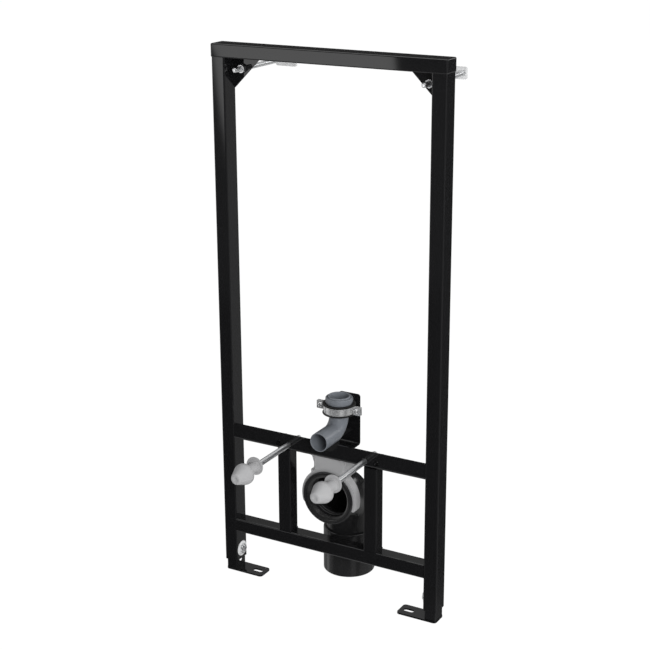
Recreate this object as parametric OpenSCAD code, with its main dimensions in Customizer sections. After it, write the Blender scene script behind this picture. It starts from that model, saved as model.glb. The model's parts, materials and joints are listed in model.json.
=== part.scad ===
/* [Frame] */
// Outside width over the two legs
frame_w = 510; // [440:5:600]
// Height from the lower end of the legs to the top of the frame
frame_h = 1120; // [900:10:1300]
// Width of a leg, seen from the front
leg_w = 30; // [26:1:40]
// Depth of a leg, front to back
leg_d = 40; // [34:1:50]
// Wall thickness of the legs, struts and lower crossbar
tube_t = 2; // [1.5:0.25:3]
// Outer corner radius of the tubes
tube_r = 3; // [2.5:0.25:4]

/* [Top bar] */
// Height of the folded top bar
cap_h = 27; // [20:1:40]
// Sheet thickness of the top bar
cap_t = 1.5; // [1:0.25:2.5]

/* [Crossbars] */
// Height of the front face of the upper crossbar
upper_h = 36; // [32:1:48]
// Sheet thickness of the upper crossbar and the clamp bracket
sheet_t = 3; // [2:0.5:4]
// Height of the upper crossbar's lower edge above the lower end of the legs
upper_rise = 289; // [286:1:330]
// Side of the square tube of the lower crossbar and the struts
bar_w = 30; // [26:1:36]
// Height of the lower crossbar above the lower end of the legs
lower_rise = 72; // [68:1:100]
// Distance from the middle of the frame to the middle of a strut
strut_x = 102; // [98:1:110]

/* [Fixing rods] */
// Distance between the two rods that carry the basin
rod_spacing = 180; // [160:1:190]
// Distance between the two spare threaded bushes
spare_spacing = 230; // [230:1:260]
// Diameter of the fixing rods
rod_d = 12; // [10:1:12]
// Height of the rods above the lower edge of the upper crossbar
rod_rise = 13; // [12.5:0.5:20]
// Length of rod in front of the crossbar
rod_front = 194; // [180:2:240]
// Length of rod behind the crossbar front
rod_back = 46; // [40:1:60]
// Outer diameter of the threaded bushes behind the crossbar
bush_d = 18; // [16:1:19]
// Length of a threaded bush
bush_len = 30; // [20:1:40]
// Play of a rod in the bushes, nuts and caps
thread_gap = 0.1; // [0.05:0.05:0.2]

/* [Washers and caps] */
// Diameter of the plastic washer
washer_d = 38; // [30:1:44]
// Thickness of the plastic washer
washer_t = 3; // [2:0.5:5]
// Distance of the washer's rear face from the crossbar front
washer_y = 129.5; // [110:0.5:140]
// Diameter of the collar on the washer
collar_d = 24; // [20:1:28]
// Length of the collar
collar_len = 31; // [20:1:33]
// Height of the step between the washer and its collar
collar_step = 1.2; // [0.8:0.1:2]
// Largest diameter of the cap
cone_d = 44; // [40:1:50]
// Diameter of the small end of the cap
cone_tip_d = 21; // [19:1:26]
// Length of the cap
cone_len = 36; // [30:1:40]
// Wall of the cap
cone_t = 2.2; // [1.5:0.1:3]
// Distance of the cap's rim from the crossbar front
cone_y = 167; // [165:1:176]

/* [Wall fixing] */
// Size of a corner gusset along the leg and along the bar
gusset = 63; // [50:1:80]
// Thickness of a gusset
gusset_t = 3; // [2:0.5:5]
// Diameter of the wall rods
wall_rod_d = 10; // [8:1:12]
// Distance of a wall rod from the inner face of its leg
wall_rod_in = 19; // [16:1:22]
// Drop of the wall rods below the frame top
wall_rod_drop = 51; // [48:1:56]
// Rod length in front of the legs' front plane, negative is behind it
wall_rod_lead = -6; // [-20:1:10]
// Distance from the legs' front plane to the wall
wall_y = 183; // [140:1:240]
// Width of a wall plate
plate_w = 48; // [44:1:60]
// Height of a wall plate
plate_h = 24; // [20:1:40]
// Thickness of a wall plate
plate_t = 5; // [3:0.5:8]
// Distance of the rod from the outer end of the wall plate
plate_out = 8.5; // [8:0.5:12]
// Width of the screw slot in the wall plate
plate_slot_w = 8.5; // [6:0.5:10]
// Length of the screw slot in the wall plate
plate_slot_len = 18; // [12:1:20]

/* [Feet] */
// How far the feet stand out below the legs
foot_show = 24; // [20:1:60]
// Travel of a foot
foot_travel = 200; // [100:5:220]
// Wall thickness of the foot channel
foot_t = 2.5; // [2:0.25:3.5]
// Play between a foot and the leg around it
foot_gap = 0.5; // [0.3:0.1:0.8]
// Thickness of a base plate
base_t = 4; // [3:0.5:8]
// How far a base plate reaches past its leg's inner face
base_reach = 61; // [50:1:90]
// Corner radius of a base plate
base_r = 7; // [4:0.5:8]
// Width of the floor slot in a base plate
base_slot_w = 11; // [9:0.5:13]
// Length of the floor slot in a base plate
base_slot_len = 24; // [16:1:30]
// Distance of the slot's middle from the plate's free end
base_slot_in = 20; // [18:1:26]
// Diameter of the clamp bolts
foot_bolt_d = 12; // [10:1:12]
// Height of the clamp bolts above the lower end of the legs
foot_bolt_rise = 23.5; // [20:0.5:24]
// Diameter of the clamp bolt's washer
foot_washer_d = 34; // [28:1:34]
// Side play of the clamp bolt in the foot's slot
slot_play = 0.5; // [0.5:0.1:0.8]
// Foot channel left above the bolt at full travel
foot_grip = 26; // [20:1:60]

/* [Clamp bracket and pipe clamp] */
// Width of the bracket that carries the pipe clamp
bracket_w = 50; // [44:1:60]
// Distance from the crossbar front to the bracket's upright face
bracket_y = 100; // [96:1:120]
// Height of the bracket's upright above the crossbar's lower edge
bracket_h = 112; // [100:1:130]
// Corner radius of the bracket's upright
bracket_r = 6; // [4:0.5:10]
// Distance from the crossbar front to the axis of the clamped socket
socket_y = 56; // [50:1:58]
// Height of the clamp's middle above the crossbar's lower edge
clamp_rise = 94; // [90:1:96]
// Width of the clamp band
band_w = 17.5; // [14:0.5:19]
// Thickness of the clamp band
band_t = 2; // [1.5:0.25:3]
// Thickness of the rubber inside the band
rubber_t = 3.5; // [2.5:0.25:4.5]
// Height of the rubber's lips above and below the band
rubber_lip = 2.5; // [2:0.25:3]
// Width of a clamp lug past the band
lug_len = 19; // [16:1:24]
// Gap between the two clamp halves
lug_gap = 3; // [2:0.5:5]
// Diameter of the clamp's rear stud
clamp_stud_d = 8; // [6:1:10]

/* [Upper elbow] */
// Outer diameter of the elbow's pipe
elbow_d = 40; // [36:1:44]
// Wall of the elbow's pipe
elbow_t = 2; // [1.5:0.25:3]
// Outer diameter of the elbow's socket
socket_d = 54; // [52:1:58]
// Height of the axis of the elbow's mouth above the crossbar's lower edge
elbow_rise = 47; // [45:0.5:50]
// Bend radius of the elbow
elbow_bend = 34; // [30:1:36]
// Distance of the elbow's mouth in front of the crossbar
elbow_out = 30; // [22:1:60]
// Height of the socket's rim above the middle of the clamp
socket_up = 24; // [20:1:30]
// Height of the socket's thicker rim
rim_h = 10; // [6:1:10]
// How far the rim stands out from the socket
rim_out = 1.5; // [1:0.25:3]
// Room around the pipe in the crossbar's notch
notch_gap = 9.5; // [3:0.5:12]
// Play of a pipe pushed into the socket
socket_gap = 0.4; // [0.3:0.1:0.6]

/* [Waste elbow] */
// Outer diameter of the elbow's body
waste_d = 98; // [96:1:100]
// Outer diameter of the mouth's barrel
barrel_d = 106; // [105:0.5:108]
// Outer diameter of the lip round the mouth
lip_d = 116; // [114:1:124]
// Inner diameter for the pipe that goes into the mouth
waste_bore_d = 90; // [84:1:91]
// Distance of the mouth's face behind the crossbar front
mouth_y = 3.5; // [2:0.5:10]
// Depth of the mouth's barrel
barrel_len = 36; // [34:1:37]
// Width of the lip round the mouth
lip_w = 6; // [4:0.5:10]
// Drop of the mouth's axis below the crossbar's lower edge
waste_drop = 91; // [88:0.5:96]
// Distance from the crossbar front to the axis of the pipe that goes down
down_y = 99; // [96:1:106]
// Bend radius of the waste elbow
waste_bend = 59; // [56:1:60]
// Outer diameter of the pipe sleeve at the bottom
sleeve_d = 110; // [106:1:112]
// Wall of the pipe sleeve below the elbow
sleeve_t = 3.2; // [2.5:0.1:4]
// Length of the pipe sleeve
sleeve_len = 98; // [80:1:110]
// Depth to which the elbow's spigot goes into the sleeve
spigot_len = 45; // [30:1:60]
// Height of the sleeve's end above the floor
sleeve_low = 25; // [20:1:50]
// Width of the seal in the mouth
seal_w = 14; // [8:1:18]

/* [Elbow holder] */
// Wall thickness of the plastic holder
holder_t = 4; // [3:0.5:5]
// Outer diameter of the holder's arms
holder_d = 128; // [124:1:140]
// Distance from the crossbar front to the holder's front
holder_y = 10.5; // [10:0.5:16]
// Depth of the holder's arms
arm_depth = 19.5; // [12:0.5:20]
// Depth of the holder's neck
holder_depth = 59.5; // [50:0.5:62]
// Width of the holder's neck
holder_neck_w = 73; // [66:1:78]
// Width of the holder's shoulders
holder_shoulder_w = 87; // [82:1:92]
// Height of the shoulders above the middle of the arms
holder_shoulder_h = 54.5; // [50:0.5:60]
// Width of the flange on top of the neck
holder_flange_w = 88; // [84:1:96]
// Angle by which the holder's arms reach below its middle
holder_reach = 15.6; // [5:0.2:25]
// Corner radius at the upright edges of the neck
holder_r = 4.5; // [2:0.5:6]
// Play between the elbow and the holder
holder_gap = 0.3; // [0.2:0.1:0.8]

/* [Hidden] */
$fn = 64;
eps = 0.01;

// Heights above the floor, with the feet as far in as they are drawn
leg_low = foot_show;
frame_top = leg_low + frame_h;
bar_under = frame_top - cap_h;
upper_low = leg_low + upper_rise;
upper_top = upper_low + upper_h;
lower_low = leg_low + lower_rise;
lower_top = lower_low + bar_w;
rod_z = upper_low + rod_rise;
wall_rod_z = frame_top - wall_rod_drop;
foot_bolt_z = leg_low + foot_bolt_rise;

// Places across the frame
half_w = frame_w / 2;
inner_x = half_w - leg_w;
wall_rod_x = inner_x - wall_rod_in;
plate_mid_x = wall_rod_x + plate_out - plate_w / 2;
plate_edge = 4;
gusset_y = leg_d - gusset_t;

// The origin lies on the back of the left wall plate, at its middle
origin = [-plate_mid_x, wall_y, wall_rod_z];

// Fastener proportions
hex_af = 1.55;
hex_high = 0.8;
flange_d = 2.1;
flange_t = 1.6;

// Foot channel, which slides inside the leg
foot_in = tube_t + foot_gap;
foot_w = leg_w - 2 * foot_in;
foot_d = leg_d - 2 * foot_in;
foot_slot_low = 14;
foot_slot_w = foot_bolt_d + 2 * slot_play;
foot_slot_top = foot_bolt_z + foot_travel + foot_slot_w / 2 + 2;
foot_top = foot_bolt_z + foot_travel + foot_grip;
foot_bolt_y = leg_d / 2;
cup_h = 3;
head_h = 5;
socket_deep = 4;

// Pipe clamp
band_z = upper_low + clamp_rise;
rubber_in = socket_d / 2;
band_in = rubber_in + rubber_t;
band_out = band_in + band_t;
clamp_screw_d = 6;
clamp_screw_x = band_out + lug_len / 2;
lug_h = band_w;

// Upper elbow
elbow_z = upper_low + elbow_rise;
socket_top = band_z + socket_up;
socket_low = band_z - band_w / 2 - rubber_lip;
pipe_seat_r = elbow_d / 2 + socket_gap;

// Waste elbow
waste_z = upper_low - waste_drop;
bend_y = down_y - waste_bend;
bend_z = waste_z - waste_bend;
sleeve_top = sleeve_low + sleeve_len;
spigot_low = sleeve_top - spigot_len;
seal_t = 6;
seal_seat_d = waste_bore_d + 2 * seal_t;
seal_play = 0.1;

// Holder
holder_in = barrel_d / 2 + holder_gap;
arm_w = holder_d / 2 - holder_in;
arm_mid_r = holder_in + arm_w / 2;
neck_low = 46;
flare_h = 14;
flare_out = 4.5;
fillet_r = 7;

black = [0.09, 0.09, 0.095];
zinc = [0.78, 0.79, 0.8];
light_plastic = [0.7, 0.7, 0.71];
grey_plastic = [0.32, 0.34, 0.37];
black_plastic = [0.12, 0.12, 0.12];
rubber = [0.05, 0.05, 0.05];
black_pipe = [0.1, 0.1, 0.105];

// Moves what is drawn in floor coordinates to the wall plate's origin
module place() {
  translate(-origin) children();
}

// Rounded rectangle with its corner at the origin
module round_rect(w, d, r) {
  translate([r, 0]) square([w - 2 * r, d]);
  translate([0, r]) square([w, d - 2 * r]);
  for (x = [r, w - r], y = [r, d - r])
    translate([x, y]) circle(r);
}

// Cross-section of a tube with rounded corners
module tube_section(w, d) {
  difference() {
    round_rect(w, d, tube_r);
    translate([tube_t, tube_t])
      round_rect(w - 2 * tube_t, d - 2 * tube_t, max(tube_r - tube_t, 0.5));
  }
}

// Turns a shape drawn along Z so that it runs along X, with its x as Y and its y as Z
module along_x() {
  rotate([90, 0, 90]) children();
}

// Turns a shape drawn along Z so that it runs along Y, towards the back
module along_y() {
  rotate([-90, 0, 0]) children();
}

module ring(outer_r, inner_r, h) {
  difference() {
    cylinder(r = outer_r, h = h);
    translate([0, 0, -eps]) cylinder(r = inner_r, h = h + 2 * eps);
  }
}

// Hexagonal prism with both ends turned down at the corners
module hexagon(af, h) {
  corner_r = af / sqrt(3);
  intersection() {
    cylinder(r = corner_r, h = h, $fn = 6);
    rotate_extrude()
      polygon([[0, 0], [af / 2, 0], [corner_r, h * 0.18], [corner_r, h * 0.82],
        [af / 2, h], [0, h]]);
  }
}

// Hexagonal nut with a round flange at its lower end
module flange_nut(d) {
  difference() {
    union() {
      cylinder(d = d * flange_d, h = flange_t);
      translate([0, 0, flange_t - eps]) hexagon(d * hex_af + 1.5, d * hex_high);
    }
    translate([0, 0, -eps]) cylinder(r = d / 2 + thread_gap, h = d * 2);
  }
}

module leg(side) {
  color(black)
  place() difference() {
    translate([side > 0 ? inner_x : -half_w, 0, leg_low])
      linear_extrude(frame_h - cap_t) tube_section(leg_w, leg_d);
    translate([side * (inner_x - eps), foot_bolt_y, foot_bolt_z])
      rotate([0, side * 90, 0]) cylinder(d = foot_bolt_d + 2 * slot_play, h = tube_t + 2 * eps);
  }
}

module top_bar() {
  out_w = frame_w + 2 * cap_t;
  out_d = leg_d + 2 * cap_t;
  color(black)
  place() translate([-out_w / 2, -cap_t, bar_under]) difference() {
    linear_extrude(cap_h) round_rect(out_w, out_d, tube_r + cap_t);
    translate([cap_t, cap_t, -eps])
      linear_extrude(cap_h - cap_t + eps) round_rect(frame_w, leg_d, tube_r);
  }
}

// Angle section of the upper crossbar, with a round bend
module angle_section() {
  bend = sheet_t * 2;
  difference() {
    union() {
      translate([0, bend]) square([sheet_t, upper_h - bend]);
      translate([bend, 0]) square([bar_w - bend, sheet_t]);
      intersection() {
        translate([bend, bend]) circle(bend);
        square([bend, bend]);
      }
    }
    translate([bend, bend]) circle(bend - sheet_t);
  }
}

module upper_crossbar() {
  color(black)
  place() difference() {
    translate([-inner_x, 0, upper_low]) along_x() linear_extrude(2 * inner_x) angle_section();
    for (x = [-spare_spacing, -rod_spacing, rod_spacing, spare_spacing])
      translate([x / 2, -eps, rod_z]) along_y() cylinder(r = rod_d / 2 + thread_gap, h = sheet_t + 2 * eps);
    translate([0, -eps, elbow_z]) along_y() cylinder(r = elbow_d / 2 + notch_gap, h = sheet_t + 2 * eps);
  }
}

module lower_crossbar() {
  color(black)
  place() translate([-inner_x, 0, lower_low]) along_x()
    linear_extrude(2 * inner_x) tube_section(bar_w, bar_w);
}

module strut(side) {
  color(black)
  place() translate([side * strut_x - bar_w / 2, 0, lower_top])
    linear_extrude(upper_low - lower_top) tube_section(bar_w, bar_w);
}

module corner_gusset(side) {
  color(black)
  place() difference() {
    translate([side * inner_x, gusset_y + gusset_t, bar_under]) rotate([90, 0, 0])
      linear_extrude(gusset_t) polygon([[0, 0], [-side * gusset, 0], [0, -gusset]]);
    translate([side * wall_rod_x, gusset_y - eps, wall_rod_z]) along_y()
      cylinder(r = wall_rod_d / 2 + 0.5, h = gusset_t + 2 * eps);
  }
}

module wall_rod(side) {
  color(zinc)
  place() translate([side * wall_rod_x, -wall_rod_lead, wall_rod_z]) along_y()
    cylinder(d = wall_rod_d, h = wall_y - 1 + wall_rod_lead);
}

module wall_nuts(side) {
  color(zinc)
  place() translate([side * wall_rod_x, gusset_y, wall_rod_z]) {
    rotate([90, 0, 0]) flange_nut(wall_rod_d);
    translate([0, gusset_t, 0]) along_y() flange_nut(wall_rod_d);
  }
}

// A slot along X that goes right through a plate lying in the XY plane
module slot_cut(len, w, t) {
  for (x = [-1, 1])
    translate([x * (len - w) / 2, 0, -eps]) cylinder(d = w, h = t + 2 * eps);
  translate([-(len - w) / 2, -w / 2, -eps]) cube([len - w, w, t + 2 * eps]);
}

module wall_plate(side) {
  mid_x = side * plate_mid_x;
  slot_mid = mid_x - side * (plate_w / 2 - plate_slot_len / 2 - plate_edge);
  color(zinc)
  place() difference() {
    translate([mid_x - plate_w / 2, wall_y, wall_rod_z - plate_h / 2]) rotate([90, 0, 0])
      linear_extrude(plate_t) round_rect(plate_w, plate_h, plate_edge);
    translate([side * wall_rod_x, wall_y - plate_t - eps, wall_rod_z]) along_y()
      cylinder(r = wall_rod_d / 2 + thread_gap, h = plate_t + 2 * eps);
    translate([slot_mid, wall_y, wall_rod_z]) rotate([90, 0, 0])
      slot_cut(plate_slot_len, plate_slot_w, plate_t);
  }
}

// Foot channel, open at the back, with the clamp slot in its inner side
module foot(side) {
  outer_x = side > 0 ? inner_x + foot_in : -half_w + foot_in;
  color(black)
  place() difference() {
    translate([outer_x, foot_in, base_t]) linear_extrude(foot_top - base_t) difference() {
      round_rect(foot_w, foot_d, foot_t);
      translate([foot_t, foot_t]) square([foot_w - 2 * foot_t, foot_d]);
    }
    translate([side * (inner_x + foot_in - eps), foot_bolt_y, 0]) rotate([0, side * 90, 0])
      linear_extrude(foot_t + 2 * eps) union() {
        for (z = [foot_slot_low + foot_slot_w / 2, foot_slot_top - foot_slot_w / 2])
          translate([-side * z, 0]) circle(d = foot_slot_w);
        translate([side > 0 ? -(foot_slot_top - foot_slot_w / 2) : foot_slot_low + foot_slot_w / 2,
          -foot_slot_w / 2])
          square([foot_slot_top - foot_slot_low - foot_slot_w, foot_slot_w]);
      }
  }
}

module base_plate(side) {
  out_x = half_w - 1;
  in_x = inner_x - base_reach;
  near_y = 0.5;
  color(black)
  place() difference() {
    translate([side > 0 ? in_x : -out_x, near_y, 0]) linear_extrude(base_t)
      round_rect(out_x - in_x, leg_d - 2 * near_y, base_r);
    translate([side * (in_x + base_slot_in), leg_d / 2, 0]) slot_cut(base_slot_len, base_slot_w, base_t);
  }
}

// Clamp bolt, drawn from the leg's inner face: a low round head with a hexagon socket
module foot_bolt(side) {
  reach = tube_t + foot_gap + foot_t + foot_bolt_d * hex_high + 2;
  head_r = foot_bolt_d * 0.84;
  color(zinc)
  place() translate([side * inner_x, foot_bolt_y, foot_bolt_z]) rotate([0, -side * 90, 0]) difference() {
    union() {
      translate([0, 0, -reach]) cylinder(d = foot_bolt_d, h = reach + cup_h);
      translate([0, 0, cup_h]) rotate_extrude()
        polygon([[0, 0], [head_r, 0], [head_r, 1], [head_r - 1.4, head_h * 0.7], [head_r - 3.6, head_h],
          [0, head_h]]);
    }
    translate([0, 0, cup_h + head_h - socket_deep]) cylinder(d = foot_bolt_d * 0.77, h = head_h, $fn = 6);
  }
}

// Cup washer under the clamp bolt's head
module foot_washer(side) {
  rim_h2 = 1.4;
  bore_r = foot_bolt_d / 2 + thread_gap;
  color(zinc)
  place() translate([side * inner_x, foot_bolt_y, foot_bolt_z]) rotate([0, -side * 90, 0]) rotate_extrude()
    polygon([[bore_r, 0], [foot_washer_d / 2, 0], [foot_washer_d / 2, rim_h2],
      [foot_bolt_d, cup_h], [bore_r, cup_h]]);
}

// Square nut inside the foot channel, just clear of its walls
module foot_nut(side) {
  nut_w = 20;
  from_x = inner_x + foot_in + foot_t + 0.3;
  color(zinc)
  place() translate([side * from_x, foot_bolt_y, foot_bolt_z]) rotate([0, side * 90, 0]) difference() {
    translate([-nut_w / 2, -nut_w / 2, 0]) cube([nut_w, nut_w, foot_bolt_d * hex_high]);
    translate([0, 0, -eps]) cylinder(r = foot_bolt_d / 2 + thread_gap, h = foot_bolt_d);
  }
}

module fixing_rod(side) {
  color(zinc)
  place() translate([side * rod_spacing / 2, -rod_front, rod_z]) along_y()
    cylinder(d = rod_d, h = rod_front + rod_back);
}

module threaded_bushes() {
  color(zinc)
  place() for (x = [-spare_spacing, -rod_spacing, rod_spacing, spare_spacing])
    translate([x / 2, sheet_t, rod_z]) along_y() ring(bush_d / 2, rod_d / 2 + thread_gap, bush_len);
}

module washer(side) {
  bore_r = rod_d / 2 + thread_gap;
  step_r = collar_d / 2 + 2;
  color(light_plastic)
  place() translate([side * rod_spacing / 2, -washer_y, rod_z]) rotate([90, 0, 0]) rotate_extrude()
    polygon([[bore_r, 0], [washer_d / 2 - 0.6, 0], [washer_d / 2, 0.6], [washer_d / 2, washer_t - 0.6],
      [washer_d / 2 - 0.6, washer_t], [step_r, washer_t], [step_r - 0.4, washer_t + collar_step],
      [collar_d / 2, washer_t + collar_step], [collar_d / 2, washer_t + collar_len],
      [bore_r, washer_t + collar_len]]);
}

// Cone cap with a rounded rim, hollow from behind, with a boss that grips the rod
module cone_cap(side) {
  rim_r = 4;
  tip_r = 2.5;
  big = cone_d / 2;
  small = cone_tip_d / 2;
  boss_r = rod_d / 2 + thread_gap;
  color(light_plastic)
  place() translate([side * rod_spacing / 2, -cone_y, rod_z]) rotate([90, 0, 0]) rotate_extrude()
    difference() {
      union() {
        polygon([[0, 0], [big - 1, 0], [big, rim_r], [big - 0.6, rim_r * 2],
          [small + 0.6, cone_len - tip_r], [small - tip_r, cone_len], [0, cone_len]]);
        translate([small - tip_r, cone_len - tip_r]) intersection() {
          circle(tip_r + 0.6);
          square([2 * tip_r, tip_r]);
        }
      }
      polygon([[boss_r + cone_t, -1], [big - 1 - cone_t, -1], [big - cone_t, rim_r],
        [small - cone_t + 1, cone_len - 2 * cone_t], [boss_r + cone_t, cone_len - 2 * cone_t]]);
      translate([0, -1]) square([boss_r, 1 + rod_front - cone_y + 1]);
    }
}

// Bracket with a shelf behind the crossbar and an upright with round top corners
module clamp_bracket() {
  bend = sheet_t * 2;
  far_y = bracket_y + sheet_t;
  color(black)
  place() difference() {
    union() {
      translate([-bracket_w / 2, bar_w, upper_low]) cube([bracket_w, far_y - bend - bar_w, sheet_t]);
      translate([-bracket_w / 2, far_y - bend, upper_low + bend]) along_x() linear_extrude(bracket_w)
        intersection() {
          difference() {
            circle(bend);
            circle(bend - sheet_t);
          }
          translate([0, -bend]) square([bend, bend]);
        }
      translate([-bracket_w / 2, far_y, upper_low + bend]) rotate([90, 0, 0])
        linear_extrude(sheet_t) {
          square([bracket_w, bracket_h - bend - bracket_r]);
          translate([bracket_r, 0]) square([bracket_w - 2 * bracket_r, bracket_h - bend]);
          for (x = [bracket_r, bracket_w - bracket_r])
            translate([x, bracket_h - bend - bracket_r]) circle(bracket_r);
        }
    }
    translate([0, bracket_y - eps, band_z]) along_y()
      cylinder(r = clamp_stud_d / 2 + thread_gap, h = sheet_t + 2 * eps);
  }
}

// Half of the clamp band with its two lugs; turn is 0 for the front half, 1 for the rear
module band_half(turn) {
  translate([0, socket_y, band_z - band_w / 2]) rotate([0, 0, turn * 180]) difference() {
    union() {
      intersection() {
        ring(band_out, band_in, band_w);
        translate([-band_out, -band_out, 0]) cube([2 * band_out, band_out - lug_gap / 2, band_w]);
      }
      for (s = [-1, 1])
        translate([s > 0 ? band_in + 0.5 : -band_out - lug_len, -lug_gap / 2 - band_t, 0])
          cube([lug_len + band_t - 0.5, band_t, lug_h]);
    }
    for (s = [-1, 1])
      translate([s * clamp_screw_x, 0, band_w / 2]) rotate([90, 0, 0])
        cylinder(r = clamp_screw_d / 2 + thread_gap, h = lug_gap / 2 + band_t + 1);
  }
}

module clamp_band_front() {
  color(zinc) place() band_half(0);
}

module clamp_band_rear() {
  color(zinc) place() band_half(1);
}

module clamp_rubber() {
  color(rubber)
  place() translate([0, socket_y, band_z]) rotate_extrude()
    polygon([[rubber_in, -band_w / 2 - rubber_lip], [band_out + 0.6, -band_w / 2 - rubber_lip],
      [band_out + 0.6, -band_w / 2], [band_in, -band_w / 2], [band_in, band_w / 2],
      [band_out + 0.6, band_w / 2], [band_out + 0.6, band_w / 2 + rubber_lip],
      [rubber_in, band_w / 2 + rubber_lip]]);
}

module clamp_screws() {
  head_h = 4.5;
  grip = lug_gap + 2 * band_t;
  color(zinc)
  place() for (s = [-1, 1])
    translate([s * clamp_screw_x, socket_y + grip / 2 + 4, band_z]) rotate([90, 0, 0]) {
      cylinder(d = clamp_screw_d, h = grip + 4);
      translate([0, 0, grip + 4]) cylinder(d = clamp_screw_d * 1.9, h = head_h);
    }
}

// Stud behind the clamp, with a nut on the back of the bracket
module clamp_stud() {
  from_y = socket_y + band_out;
  color(zinc)
  place() translate([0, from_y, band_z]) along_y() {
    cylinder(d = clamp_stud_d, h = bracket_y + sheet_t - from_y + clamp_stud_d);
    hexagon(clamp_stud_d * 1.6, bracket_y - from_y);
    translate([0, 0, bracket_y + sheet_t - from_y]) hexagon(clamp_stud_d * 1.6, clamp_stud_d * hex_high);
  }
}

// Elbow of the upper pipe: a solid of radius r along its whole path
module upper_run(r, start, end) {
  translate([0, socket_y, elbow_z + elbow_bend]) cylinder(r = r, h = end - elbow_z - elbow_bend);
  translate([0, socket_y - elbow_bend, elbow_z + elbow_bend]) rotate([90, 0, 90])
    rotate([0, 0, -90]) rotate_extrude(angle = 90) translate([elbow_bend, 0]) circle(r);
  translate([0, start, elbow_z]) along_y() cylinder(r = r, h = socket_y - elbow_bend - start);
}

module upper_elbow() {
  pipe_r = elbow_d / 2;
  sock_r = socket_d / 2;
  color(grey_plastic)
  place() difference() {
    union() {
      upper_run(pipe_r, -elbow_out, socket_low + 1);
      translate([0, socket_y, 0]) rotate_extrude()
        polygon([[0, socket_low], [pipe_r + 2, socket_low], [sock_r, socket_low + 3],
          [sock_r, socket_top - rim_h], [sock_r + rim_out, socket_top - rim_h],
          [sock_r + rim_out, socket_top - 3], [sock_r + rim_out - 2, socket_top], [0, socket_top]]);
    }
    upper_run(pipe_r - elbow_t, -elbow_out - eps, socket_top);
    translate([0, socket_y, socket_low + 3]) cylinder(r = pipe_seat_r, h = socket_top);
    translate([0, socket_y, socket_top - rim_h]) cylinder(r = sock_r - 2.5, h = socket_top);
  }
}

module upper_seal() {
  outer_r = socket_d / 2 - 2.5;
  color(rubber)
  place() translate([0, socket_y, socket_top - rim_h]) rotate_extrude()
    polygon([[pipe_seat_r, 0], [outer_r, 0], [outer_r, rim_h - 1], [pipe_seat_r + 2.5, rim_h - 1],
      [pipe_seat_r, rim_h - 3]]);
}

// Run of the waste elbow: a solid of radius r from the mouth to the lower end
module waste_run(r, start, end) {
  translate([0, start, waste_z]) along_y() cylinder(r = r, h = bend_y - start);
  translate([0, bend_y, bend_z]) rotate([90, 0, 90])
    rotate_extrude(angle = 90) translate([waste_bend, 0]) circle(r);
  translate([0, down_y, end]) cylinder(r = r, h = bend_z - end);
}

module waste_elbow() {
  color(black_plastic)
  place() difference() {
    union() {
      waste_run(waste_d / 2, mouth_y, spigot_low);
      translate([0, mouth_y, waste_z]) along_y() cylinder(d = barrel_d, h = barrel_len);
      translate([0, mouth_y, waste_z]) along_y() rotate_extrude()
        polygon([[0, 0], [lip_d / 2 - 1.5, 0], [lip_d / 2, 1.5], [lip_d / 2, lip_w], [0, lip_w]]);
    }
    waste_run(waste_bore_d / 2, mouth_y - eps, spigot_low - eps);
    translate([0, mouth_y - eps, waste_z]) along_y()
      cylinder(d = seal_seat_d, h = seal_w + 1 + seal_play);
  }
}

module waste_seal() {
  lip_r = waste_bore_d / 2;
  seat_r = seal_seat_d / 2;
  rim_r = seat_r - seal_t / 2;
  color(rubber)
  place() translate([0, mouth_y + 1, waste_z]) along_y() rotate_extrude()
    polygon([[seat_r, 0], [seat_r, seal_w], [lip_r, seal_w], [lip_r, seal_w * 0.6],
      [rim_r, 2], [rim_r, 0]]);
}

module waste_sleeve() {
  outer_r = sleeve_d / 2;
  edge = 2;
  color(black_pipe)
  place() translate([0, down_y, 0]) rotate_extrude()
    polygon([[waste_d / 2, spigot_low], [waste_d / 2, sleeve_top], [outer_r - edge, sleeve_top],
      [outer_r, sleeve_top - edge], [outer_r, sleeve_low + edge], [outer_r - edge, sleeve_low],
      [outer_r - sleeve_t, sleeve_low], [outer_r - sleeve_t, spigot_low]]);
}

// Wedge left open below the holder's arms
module holder_mouth() {
  far = holder_d;
  drop = far * tan(holder_reach);
  polygon([[0, 0], [far, -drop], [far, -2 * far], [-far, -2 * far], [-far, -drop]]);
}

// Arms round the barrel, seen from the front, with round ends
module holder_arms() {
  difference() {
    circle(holder_d / 2);
    circle(holder_in);
    holder_mouth();
  }
  for (turn = [-holder_reach, 180 + holder_reach])
    rotate([0, 0, turn]) translate([arm_mid_r, 0]) circle(d = arm_w);
}

// Upright block of the neck, from the arms' middle upwards, with round upright edges
module neck_block(w, near_y, far_y, low, high) {
  translate([-w / 2, near_y, waste_z + low]) linear_extrude(high - low)
    round_rect(w, far_y - near_y, holder_r);
}

// Sides of the neck that widen to the flange and to the shoulders
module neck_flares() {
  neck = holder_neck_w / 2;
  top = waste_drop - holder_t;
  for (m = [0, 1]) mirror([m, 0]) {
    polygon([[0, top - flare_h], [neck, top - flare_h], [neck + flare_out, top], [0, top]]);
    translate([neck - eps, holder_shoulder_h - eps]) difference() {
      square(fillet_r);
      translate([fillet_r, fillet_r]) circle(fillet_r);
    }
  }
}

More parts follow.
